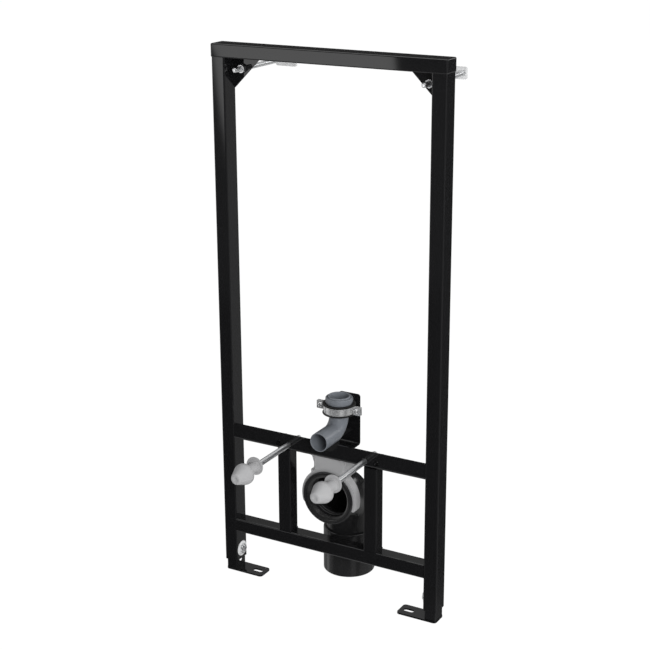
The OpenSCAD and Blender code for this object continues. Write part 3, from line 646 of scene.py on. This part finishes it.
def makeThreadTree():
    # a rod with a helical thread, drawn along the line that comes in
    g, gin, gout = newTree("threadedRod", [
        ("Radius", "NodeSocketFloat", 0.006), ("Pitch", "NodeSocketFloat", 0.00175),
        ("Depth", "NodeSocketFloat", 0.0005), ("End Chamfer", "NodeSocketFloat", 0.0012),
        ("Steps per Turn", "NodeSocketFloat", 6.0), ("Sides", "NodeSocketInt", 20),
        ("Material", "NodeSocketMaterial", None)])
    new = g.nodes.new
    curve = new("GeometryNodeMeshToCurve")
    fine = new("GeometryNodeResampleCurve")
    fine.mode = "LENGTH"
    step = mathNode(g, "DIVIDE", gin.outputs["Pitch"], gin.outputs["Steps per Turn"])
    wire(g, (gin.outputs["Geometry"], curve.inputs[0]), (curve.outputs[0], fine.inputs["Curve"]),
         (step, fine.inputs["Length"]))
    spline = new("GeometryNodeSplineParameter")
    total = new("GeometryNodeCurveLength")
    wire(g, (curve.outputs[0], total.inputs[0]))
    keepAxis = new("GeometryNodeCaptureAttribute")
    keepAxis.capture_items.new("VECTOR", "axis")
    keepAxis.capture_items.new("FLOAT", "run")
    wire(g, (fine.outputs[0], keepAxis.inputs["Geometry"]), (new("GeometryNodeInputPosition").outputs[0], keepAxis.inputs[1]),
         (spline.outputs["Length"], keepAxis.inputs[2]))
    section = new("GeometryNodeCurvePrimitiveCircle")
    wire(g, (gin.outputs["Sides"], section.inputs["Resolution"]), (gin.outputs["Radius"], section.inputs["Radius"]))
    keepTurn = new("GeometryNodeCaptureAttribute")
    keepTurn.capture_items.new("FLOAT", "turn")
    wire(g, (section.outputs[0], keepTurn.inputs["Geometry"]), (spline.outputs["Factor"], keepTurn.inputs[1]))
    skin = new("GeometryNodeCurveToMesh")
    skin.inputs["Fill Caps"].default_value = True
    wire(g, (keepAxis.outputs[0], skin.inputs["Curve"]), (keepTurn.outputs[0], skin.inputs["Profile Curve"]))
    phase = mathNode(g, "ADD", mathNode(g, "DIVIDE", keepAxis.outputs[2], gin.outputs["Pitch"]), keepTurn.outputs[1])
    wave = mathNode(g, "ABSOLUTE", mathNode(g, "MULTIPLY_ADD", mathNode(g, "FRACT", phase), 2, -1))
    cut = mathNode(g, "MULTIPLY", wave, gin.outputs["Depth"])
    toEnd = mathNode(g, "MINIMUM", keepAxis.outputs[2], mathNode(g, "SUBTRACT", total.outputs[0], keepAxis.outputs[2]))
    short = mathNode(g, "SUBTRACT", 1, mathNode(g, "DIVIDE", toEnd, gin.outputs["End Chamfer"], clamp=True))
    chamfer = mathNode(g, "MULTIPLY", short, gin.outputs["End Chamfer"])
    away = new("ShaderNodeVectorMath")
    away.operation = "SUBTRACT"
    unit = new("ShaderNodeVectorMath")
    unit.operation = "NORMALIZE"
    push = new("ShaderNodeVectorMath")
    push.operation = "SCALE"
    move = new("GeometryNodeSetPosition")
    inward = mathNode(g, "MULTIPLY", mathNode(g, "MAXIMUM", cut, chamfer), -1)
    wire(g, (new("GeometryNodeInputPosition").outputs[0], away.inputs[0]), (keepAxis.outputs[1], away.inputs[1]),
         (away.outputs[0], unit.inputs[0]), (unit.outputs[0], push.inputs[0]), (inward, push.inputs["Scale"]),
         (skin.outputs[0], move.inputs["Geometry"]), (push.outputs[0], move.inputs["Offset"]))
    endTree(g, gin, gout, move.outputs[0])
    return g


def makeWeldTree():
    # ripples of a weld along the line that comes in
    g, gin, gout = newTree("weldBead", [
        ("Spacing", "NodeSocketFloat", 0.0016), ("Radius", "NodeSocketFloat", 0.0019),
        ("Unevenness", "NodeSocketFloat", 0.12), ("Seed", "NodeSocketInt", 3),
        ("Material", "NodeSocketMaterial", None)])
    new = g.nodes.new
    curve = new("GeometryNodeMeshToCurve")
    points = new("GeometryNodeResampleCurve")
    points.mode = "LENGTH"
    drop = new("GeometryNodeMeshIcoSphere")
    drop.inputs["Subdivisions"].default_value = 2
    size = new("FunctionNodeRandomValue")
    size.data_type = "FLOAT"
    low = mathNode(g, "SUBTRACT", 1, gin.outputs["Unevenness"])
    spread = new("GeometryNodeInstanceOnPoints")
    wire(g, (gin.outputs["Geometry"], curve.inputs[0]), (curve.outputs[0], points.inputs["Curve"]),
         (gin.outputs["Spacing"], points.inputs["Length"]), (gin.outputs["Radius"], drop.inputs["Radius"]),
         (low, size.inputs[2]), (gin.outputs["Seed"], size.inputs["Seed"]),
         (points.outputs[0], spread.inputs["Points"]), (drop.outputs[0], spread.inputs["Instance"]),
         (size.outputs[1], spread.inputs["Scale"]))
    endTree(g, gin, gout, spread.outputs[0])
    return g


def makeSpreadTree():
    # one shape on each point that comes in
    g, gin, gout = newTree("shapeOnPoints", [
        ("Shape", "NodeSocketObject", None), ("Material", "NodeSocketMaterial", None)])
    new = g.nodes.new
    source = new("GeometryNodeObjectInfo")
    spread = new("GeometryNodeInstanceOnPoints")
    wire(g, (gin.outputs["Shape"], source.inputs["Object"]), (gin.outputs["Geometry"], spread.inputs["Points"]),
         (source.outputs["Geometry"], spread.inputs["Instance"]))
    endTree(g, gin, gout, spread.outputs[0])
    return g


threadTree = makeThreadTree()
weldTree = makeWeldTree()
spreadTree = makeSpreadTree()


# ---- threaded rods ----
rodSettings = {"depth": 0.12, "chamfer": 1.2, "steps": 6, "sides": 24,
               "pitch": {"fixing_rod": 1.75, "wall_rod": 1.5}}


def threadedRod(start, end, radius, pitch, s, finish):
    mesh = grow(threadTree, lineMesh([start, end]), {
        "Radius": mm(radius), "Pitch": mm(pitch), "Depth": mm(s["depth"]), "End Chamfer": mm(s["chamfer"]),
        "Steps per Turn": float(s["steps"]), "Sides": s["sides"], "Material": materials[finish]})
    return shaded(mesh, 50)


for kind, pitch in rodSettings["pitch"].items():
    for side in ("left", "right"):
        node = f"{side}_{kind}"
        low, high, mid = boxOf(node)
        radius = (high.x - low.x) * 500
        standIn(node, threadedRod(Vector((mid.x, low.y, mid.z)), Vector((mid.x, high.y, mid.z)),
                                  radius, pitch, rodSettings, "zinc"))
print("threaded rods made")


# ---- nuts ----
nutSettings = {"acrossFlats": 16, "height": 8, "bore": 5.1, "chamfer": 30, "steps": 8}


def hexNut(s):
    # a chamfered nut along Y round the origin, from y = 0
    flat = s["acrossFlats"] / 2
    rings = []
    count = 6 * s["steps"]

    def corner(a):
        return flat / math.cos((a + math.pi / 6) % (math.pi / 3) - math.pi / 6)

    def ring(radiusAt, heightAt):
        out = []
        for i in range(count):
            a = 2 * math.pi * i / count
            out.append(Vector((mm(radiusAt(a) * math.cos(a)), mm(heightAt(a)), mm(radiusAt(a) * math.sin(a)))))
        return out

    slope = math.tan(math.radians(s["chamfer"]))

    def drop(a):
        return (corner(a) - flat * 0.96) * slope

    bore, h = s["bore"], s["height"]
    rings.append(ring(lambda a: bore, lambda a: 0.5))
    rings.append(ring(lambda a: bore + 0.6, lambda a: 0))
    rings.append(ring(lambda a: flat * 0.96, lambda a: 0))
    rings.append(ring(corner, drop))
    rings.append(ring(corner, lambda a: h - drop(a)))
    rings.append(ring(lambda a: flat * 0.96, lambda a: h))
    rings.append(ring(lambda a: bore + 0.6, lambda a: h))
    rings.append(ring(lambda a: bore, lambda a: h - 0.5))
    return ringMesh("nut", rings, loop=True, sharp=25)


def nutsAt(places, s, finish):
    shape = helper(hexNut(s))
    points = bpy.data.meshes.new("places")
    points.from_pydata([tuple(p) for p in places], [], [])
    mesh = grow(spreadTree, points, {"Shape": shape, "Material": materials[finish]})
    bpy.data.objects.remove(shape)
    return shaded(mesh, 25)


for side in ("left", "right"):
    low, high, mid = boxOf(f"{side}_wall_nuts")
    gussetLow, gussetHigh, _ = boxOf(f"{side}_gusset")
    rodMid = boxOf(f"{side}_wall_rod")[2]
    standIn(f"{side}_wall_nuts", nutsAt([
        (rodMid.x, gussetLow.y - mm(nutSettings["height"]), rodMid.z), (rodMid.x, gussetHigh.y, rodMid.z)],
        nutSettings, "zinc"))
print("nuts made")


# ---- washers and caps on the fixing rods ----
capSettings = {"rim": 22, "shoulder": 9, "shoulderAt": 5, "tip": 12, "tipRound": 4.5, "dimple": 5,
               "dimpleDeep": 1.2, "wall": 2.2, "bore": 6.1}
washerSettings = {"disc": 19, "thick": 3, "rise": 2.3, "step": 14, "stepThick": 1.2, "collar": 12, "bore": 6.1}


def capMesh(centre, length, boreDepth, s):
    # profile from the rim's back edge round the outside to the dimple, then back along the hollow
    shoulder = (s["rim"] - s["shoulder"], s["shoulderAt"])
    tip = (s["tip"] - s["tipRound"], length - s["tipRound"])
    reach = math.hypot(tip[0] - shoulder[0], tip[1] - shoulder[1])
    turn = math.degrees(math.atan2(tip[1] - shoulder[1], tip[0] - shoulder[0]))
    turn -= math.degrees(math.acos((s["shoulder"] - s["tipRound"]) / reach))
    outer = [(s["rim"] - 1.2, 0), (s["rim"] - 0.4, 0.3), (s["rim"], 1.1)]
    outer += arcPoints(shoulder, s["shoulder"], 0, turn, 8)
    outer += arcPoints(tip, s["tipRound"], turn, 90, 6)
    dimple = [(s["dimple"] + 0.5, length), (s["dimple"], length - 0.3)]
    dimple += arcPoints((0, length + 8), math.hypot(s["dimple"], 8 + s["dimpleDeep"]), -32, -90, 1)[1:]
    wall = s["wall"]
    inner = [(0, boreDepth), (s["bore"], boreDepth), (s["bore"], 0.4), (s["bore"] + 0.4, 0),
             (s["bore"] + wall, 0), (s["bore"] + wall, length - 2.4 * wall)]
    inner += [(tip[0] + 0.5, length - 2.4 * wall)]
    inner += arcPoints(shoulder, s["shoulder"] - wall, turn, 0, 6)
    inner += [(s["rim"] - wall, 0.4), (s["rim"] - wall + 0.4, 0)]
    profile = outer + dimple + [(0, length - s["dimpleDeep"])] + inner
    return lathe("cap", [(r, -h) for r, h in profile], centre, axisY, 64)


def washerMesh(centre, length, s):
    profile, lift = [], []

    def add(r, h, up=0):
        profile.append((r, -h))
        lift.append(up)

    up = s["rise"]
    add(s["bore"], 0.5)
    add(s["bore"] + 0.5, 0)
    add(s["disc"] - 0.8, 0, up)
    add(s["disc"] - 0.2, 0.25, up)
    add(s["disc"], 0.8, up)
    add(s["disc"], s["thick"] - 0.8, up)
    add(s["disc"] - 0.2, s["thick"] - 0.25, up)
    add(s["disc"] - 0.8, s["thick"], up)
    add(s["step"] + 0.4, s["thick"])
    add(s["step"], s["thick"] + 0.4)
    add(s["step"], s["thick"] + s["stepThick"] - 0.3)
    add(s["step"] - 0.4, s["thick"] + s["stepThick"])
    add(s["collar"] + 0.5, s["thick"] + s["stepThick"])
    add(s["collar"], s["thick"] + s["stepThick"] + 0.5)
    add(s["collar"], length - 0.8)
    add(s["collar"] - 0.3, length - 0.2)
    add(s["collar"] - 0.9, length)
    add(s["bore"] + 0.5, length)
    add(s["bore"], length - 0.5)
    return lathe("washer", profile, centre, axisY, 64, lift=lift)


for side in ("left", "right"):
    rodLow, _, rodMid = boxOf(f"{side}_fixing_rod")
    low, high, mid = boxOf(f"{side}_cap")
    rim = Vector((rodMid.x, high.y, rodMid.z))
    standIn(f"{side}_cap", capMesh(rim, (high.y - low.y) * 1000, (high.y - rodLow.y) * 1000 + 1, capSettings))
    low, high, mid = boxOf(f"{side}_washer")
    standIn(f"{side}_washer", washerMesh(Vector((rodMid.x, high.y, rodMid.z)), (high.y - low.y) * 1000, washerSettings))
print("washers and caps made")


# ---- elbows ----
def elbowFrame(bendY, bendZ, bend, turn, down):
    # middle, and the ring's second direction, where the run has turned by an angle in the middle plane
    a = math.radians(turn)
    if down:
        return at(0, bendY + bend * math.sin(a), bendZ + bend * math.cos(a)), Vector((0, math.sin(a), math.cos(a)))
    return at(0, bendY + bend * math.sin(a), bendZ - bend * math.cos(a)), Vector((0, -math.sin(a), math.cos(a)))


def elbowMesh(name, s, count=96):
    # outer profile from the mouth to the far end, then the inner one back, as one closed skin
    down = s["down"]
    level = s["axisZ"]
    bendZ = level - s["bend"] if down else level + s["bend"]
    endFrame = elbowFrame(s["bendY"], bendZ, s["bend"], 90, down)
    rings = []

    def straight(r, y):
        rings.append(circleRing(at(0, y, level), axisX, axisZ, r, count))

    def bent(r, turn):
        centre, v = elbowFrame(s["bendY"], bendZ, s["bend"], turn, down)
        rings.append(circleRing(centre, axisX, v, r, count))

    def upright(r, z):
        rings.append(circleRing(at(0, s["bendY"] + s["bend"], z), axisX, endFrame[1], r, count))

    turns = [i * 90 / s["bendSteps"] for i in range(s["bendSteps"] + 1)]
    for r, y in s["mouthOuter"]:
        straight(r, y)
    for a in turns:
        bent(s["pipe"], a)
    for r, z in s["farOuter"] + s["farInner"]:
        upright(r, z)
    for a in reversed(turns):
        bent(s["pipe"] - s["wall"], a)
    for r, y in s["mouthInner"]:
        straight(r, y)
    return ringMesh(name, rings, loop=True, sharp=40)


wasteSettings = {
    "down": True, "axisZ": 222, "bendY": 40, "bend": 59, "bendSteps": 18, "pipe": 49, "wall": 4,
    "mouthOuter": [(51, 4.4), (51.2, 3.9), (51.7, 3.6), (52.4, 3.5)] + arcPoints((55.2, 6.3), 2.8, -90, 0, 6)
                  + arcPoints((55.6, 7.1), 2.4, 0, 90, 5) + [(54.2, 9.6), (53.4, 9.9), (53, 10.6), (53, 38.4),
                                                             (52.7, 39.1), (52, 39.5), (50, 39.6), (49.3, 39.8)],
    "farOuter": [(49, 120), (49, 80), (48.6, 78.8), (47.9, 78)],
    "farInner": [(46.2, 78), (45.4, 78.8), (45, 80), (45, 120)],
    "mouthInner": [(45, 36), (46.2, 35.2), (46.6, 34), (46.2, 32.8), (45, 32), (45, 29), (46.2, 28.2), (46.6, 27),
                   (46.2, 25.8), (45, 25), (45, 19.4), (45.6, 18.6), (50.4, 18.6), (51, 18)],
}
upperSettings = {
    "down": False, "axisZ": 360, "bendY": 22, "bend": 34, "bendSteps": 14, "pipe": 20, "wall": 2,
    "mouthOuter": [(18, -29.2), (18.3, -29.8), (18.8, -30), (19.3, -30), (19.8, -29.8), (20, -29.3)],
    "farOuter": [(20, 395), (20.6, 395.7), (22.4, 395.8), (25.2, 396.7), (26.6, 398), (27, 399.6), (27, 420.2),
                 (27.3, 420.8), (28, 421), (28.4, 421.3), (28.5, 421.9), (28.5, 428.2)]
                + arcPoints((26.3, 428.7), 2.2, 0, 90, 5),
    "farInner": [(25.2, 430.9), (24.6, 430.6), (24.5, 430), (24.5, 421.3), (24.2, 421), (20.8, 421), (20.4, 420.6),
                 (20.4, 399.2), (20, 398.8), (18.4, 398.7), (18, 398.2)],
    "mouthInner": [(18, 20), (18, -10)],
}
standIn("waste_elbow", elbowMesh("wasteElbow", wasteSettings))
standIn("upper_elbow", elbowMesh("upperElbow", upperSettings, 80))

wasteSealProfile = [
    (50.9, 5.2), (50.9, 18.3), (50.4, 18.5), (47.4, 18.5), (45.9, 17.9), (45.2, 17), (45.5, 16.2), (47.2, 15.3),
    (47.6, 14.4), (47.2, 13.6), (45.5, 12.8), (45.1, 11.9), (45.5, 11.1), (47.4, 10), (47.8, 9.1), (47.4, 8.3),
    (46, 7.5), (45.6, 6.7), (46, 6), (48.4, 5), (49.6, 4.6), (50.5, 4.7)]
standIn("waste_seal", lathe("wasteSeal", wasteSealProfile, at(0, 0, 222), axisY, 96, sharp=70))

upperSealProfile = [
    (20.4, 421.2), (24.4, 421.2), (24.4, 429.6), (24.1, 430), (23.8, 430.2), (23.6, 430.8), (23.5, 432.6),
    (23.2, 433.4), (22.5, 433.8), (21.3, 433.8), (20.6, 433.3), (20.4, 432.5)]
standIn("upper_seal", lathe("upperSeal", upperSealProfile, at(0, 56, 0), axisZ, 80, sharp=50))

sleeveProfile = [(49.1, 79), (49.1, 121.4), (49.5, 122.6), (50.4, 123), (53, 123)] \
    + arcPoints((53, 121), 2, 90, 0, 5) + [(55, 27)] + arcPoints((53, 27), 2, 0, -90, 5) \
    + [(52.4, 25), (51.9, 25.4), (51.8, 26), (51.8, 78), (51.6, 78.2), (49.3, 78.2)]
standIn("waste_sleeve", lathe("wasteSleeve", sleeveProfile, at(0, 99, 0), axisZ, 96, sharp=50))
print("elbows, seals and sleeve made")


# ---- pipe clamp ----
clampSettings = {"middle": 407, "socketY": 56, "band": 17.5, "lipRound": 1.9, "lipAt": 33, "inner": 27.05, "bandIn": 30.5}


def rubberMesh(s):
    half = s["band"] / 2
    up = s["middle"] + half + 0.7
    low = s["middle"] - half - 0.7
    profile = [(s["inner"], low - 1), (s["inner"], up + 1), (s["inner"] + 0.6, up + 1.9)]
    profile += arcPoints((s["lipAt"], up), s["lipRound"], 90, -60, 8)
    profile += [(s["bandIn"] + 1.9, up - 1), (s["bandIn"] + 0.05, up - 1), (s["bandIn"] + 0.05, low + 1),
                (s["bandIn"] + 1.9, low + 1)]
    profile += arcPoints((s["lipAt"], low), s["lipRound"], 60, -90, 8)
    profile += [(s["inner"] + 0.6, low - 1.9)]
    return lathe("clampRubber", profile, at(0, s["socketY"], 0), axisZ, 80, sharp=50)


screwSettings = {"shank": 3, "head": 5.7, "headHigh": 4.5, "round": 2.2, "slotWide": 1.5, "slotLong": 6.4, "slotDeep": 2.6}


def clampScrew(x, backY, frontY, z, s):
    # pan head to the front with a cross recess
    start = at(x, backY, z)
    total = backY - frontY
    under = total - s["headHigh"]
    profile = [(0, 0), (s["shank"] - 0.5, 0), (s["shank"], 0.5), (s["shank"], under), (s["head"] - 0.4, under),
               (s["head"], under + 0.4), (s["head"], total - s["round"])]
    profile += arcPoints((s["head"] - s["round"], total - s["round"]), s["round"], 0, 80, 5)
    profile += [(0, total + 0.0)]
    screw = lathe("clampScrew", [(r, -h) for r, h in profile], start, axisY, 40)
    w, l, d = s["slotWide"] / 2, s["slotLong"] / 2, s["slotDeep"]
    cutters = []
    for a, b in ((w, l), (l, w)):
        cutters.append(prism("recess", [(-a, -b), (a, -b), (a, b), (-a, b)], axisY, at(x, frontY - 1, z), d + 1, axisX, axisZ))
    return evenShade(cutAway(screw, cutters), 35)


def joined(name, meshes):
    bm = bmesh.new()
    for m in meshes:
        bm.from_mesh(m)
    mesh = bpy.data.meshes.new(name)
    bm.to_mesh(mesh)
    bm.free()
    return mesh


standIn("clamp_rubber", rubberMesh(clampSettings))
low, high, mid = boxOf("clamp_screws")
screwFrontY = (low.y - frontY) * 1000
screwBackY = (high.y - frontY) * 1000
screwX = (high.x - midX) * 1000 - screwSettings["head"]
standIn("clamp_screws", joined("clampScrews", [
    clampScrew(side * screwX, screwBackY, screwFrontY, clampSettings["middle"], screwSettings) for side in (-1, 1)]))
for node in ("clamp_band_front", "clamp_band_rear"):
    standIn(node, softened(node, 0.5))
print("pipe clamp made")


# ---- clamp bolts of the feet ----
footBoltSettings = {"shank": 6, "head": 10, "brim": 1.2, "headHigh": 5, "crown": 6.6, "under": 3,
                    "socket": 4.6, "socketDeep": 4, "washer": 17, "rim": 1.4, "cup": 12, "bore": 6.1}


def footBolt(start, toX, length, s):
    # button head with a hexagon socket; lengths run from the shank's inner end
    neck = length - s["headHigh"]
    profile = [(0, 0), (s["shank"] - 0.8, 0), (s["shank"], 0.8), (s["shank"], neck), (s["head"] - 0.3, neck),
               (s["head"], neck + 0.3), (s["head"], neck + s["brim"])]
    for i in range(1, 9):
        a = math.radians(90 * i / 8)
        profile.append((s["crown"] + (s["head"] - s["crown"]) * math.cos(a),
                        neck + s["brim"] + (s["headHigh"] - s["brim"]) * math.sin(a)))
    profile += [(s["socket"] + 0.9, length), (0, length)]
    bolt = lathe("footBolt", [(r, h * toX) for r, h in profile], start, axisX, 48)
    outline = [(s["socket"] * math.cos(math.pi * i / 3), s["socket"] * math.sin(math.pi * i / 3)) for i in range(6)]
    top = start + axisX * mm(toX * (length - s["socketDeep"]))
    return evenShade(cutAway(bolt, [prism("socket", outline, axisX * toX, top, s["socketDeep"] + 1, axisY, axisZ)]), 35)


def cupWasher(start, toX, s):
    profile = [(s["bore"], 0), (s["washer"] - 0.5, 0), (s["washer"], 0.4), (s["washer"], s["rim"] - 0.5),
               (s["washer"] - 0.5, s["rim"]), (s["washer"] - 1.8, s["rim"]), (s["washer"] - 2.4, s["rim"] - 0.15),
               (s["cup"] + 1.6, s["rim"] + 0.5), (s["cup"] + 0.7, s["under"] - 0.3), (s["cup"], s["under"]),
               (s["cup"] - 1.2, s["under"]), (s["cup"] - 1.8, s["under"] - 0.4), (s["bore"], s["under"] - 0.4)]
    return lathe("cupWasher", [(r, h * toX) for r, h in profile], start, axisX, 64, sharp=30)


for side, toX in (("left", 1), ("right", -1)):
    low, high, mid = boxOf(f"{side}_foot_bolt")
    start = Vector((low.x if toX > 0 else high.x, mid.y, mid.z))
    standIn(f"{side}_foot_bolt", footBolt(start, toX, (high.x - low.x) * 1000, footBoltSettings))
    low, high, mid = boxOf(f"{side}_foot_washer")
    start = Vector((low.x if toX > 0 else high.x, mid.y, mid.z))
    standIn(f"{side}_foot_washer", cupWasher(start, toX, footBoltSettings))
print("clamp bolts of the feet made")


# ---- weld beads behind the joints ----
weldSettings = {"spacing": 1.5, "radius": 1.8, "unevenness": 0.12, "inset": 1.5}


def weldLine(start, end, s, seed):
    run = (end - start).normalized() * mm(s["inset"])
    return grow(weldTree, lineMesh([start + run, end - run]), {
        "Spacing": mm(s["spacing"]), "Radius": mm(s["radius"]), "Unevenness": s["unevenness"], "Seed": seed,
        "Material": materials["blackCoat"]})


seams = []
barLow, barHigh, _ = boxOf("lower_crossbar")
for x in (barLow.x, barHigh.x):
    seams.append((Vector((x, barHigh.y, barLow.z)), Vector((x, barHigh.y, barHigh.z))))
for side in ("left", "right"):
    low, high, mid = boxOf(f"{side}_strut")
    seams.append((Vector((low.x, high.y, low.z)), Vector((high.x, high.y, low.z))))
    seams.append((Vector((low.x, high.y, high.z)), Vector((high.x, high.y, high.z))))
for k, (start, end) in enumerate(seams):
    addPiece(f"weld_bead_{k + 1}", weldLine(start, end, weldSettings, k + 1), "frame", "blackCoat")
print("weld beads made")


# ---- softened edges on sheet parts ----
edgeWidths = {"upper_crossbar": 0.6, "clamp_bracket": 0.6, "left_gusset": 0.5, "right_gusset": 0.5,
              "left_base_plate": 0.8, "right_base_plate": 0.8, "left_wall_plate": 0.7, "right_wall_plate": 0.7,
              "elbow_holder": 0.8}
for node, width in edgeWidths.items():
    standIn(node, softened(node, width))
print("edges softened on", len(edgeWidths), "nodes")


# ---- top bar ----
topBarSettings = {"wall": 1.5, "corner": 4.5, "edge": 2.5, "innerCorner": 3, "steps": 5}


def roundedRing(low, high, z, inset, r, steps):
    # rounded rectangle at a height, seen from above
    x0, x1, y0, y1 = low.x + mm(inset), high.x - mm(inset), low.y + mm(inset), high.y - mm(inset)
    rr = mm(max(r - inset, 0.3))
    out = []
    for cx, cy, a0 in ((x1 - rr, y1 - rr, 0), (x0 + rr, y1 - rr, 90), (x0 + rr, y0 + rr, 180), (x1 - rr, y0 + rr, 270)):
        for i in range(steps + 1):
            a = math.radians(a0 + 90 * i / steps)
            out.append(Vector((cx + rr * math.cos(a), cy + rr * math.sin(a), z)))
    return out


def topBarMesh(s):
    low, high, mid = boxOf("top_bar")
    e, w, n = s["edge"], s["wall"], s["steps"]
    rings = []
    for a in range(7):
        t = math.radians(90 * a / 6)
        inset = e * (1 - math.sin(t))
        if inset <= w:
            rings.append(roundedRing(low, high, low.z + mm(e * (1 - math.cos(t))), inset, s["corner"], n))
    for a in range(7):
        t = math.radians(90 * a / 6)
        rings.append(roundedRing(low, high, high.z - mm(e * (1 - math.sin(t))), e * (1 - math.cos(t)), s["corner"], n))
    outer = ringMesh("topBar", rings, capEnd=True)
    top = high.z - mm(w)
    bm = bmesh.new()
    bm.from_mesh(outer)
    firstCount = len(rings[0])
    bm.verts.ensure_lookup_table()
    edgeRing = [bm.verts[i] for i in range(firstCount)]
    inRing = [bm.verts.new(p) for p in roundedRing(low, high, low.z + mm(e * 0.1), w + 0.01, s["corner"], n)]
    topRing = [bm.verts.new(p) for p in roundedRing(low, high, top, w + 0.01, s["corner"], n)]
    for one, two in ((edgeRing, inRing), (inRing, topRing)):
        for i in range(firstCount):
            j = (i + 1) % firstCount
            bm.faces.new((one[i], one[j], two[j], two[i]))
    bm.faces.new(topRing)
    bmesh.ops.recalc_face_normals(bm, faces=bm.faces)
    mesh = bpy.data.meshes.new("topBar")
    bm.to_mesh(mesh)
    bm.free()
    return evenShade(mesh)


standIn("top_bar", topBarMesh(topBarSettings))
print("top bar made")

low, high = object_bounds()
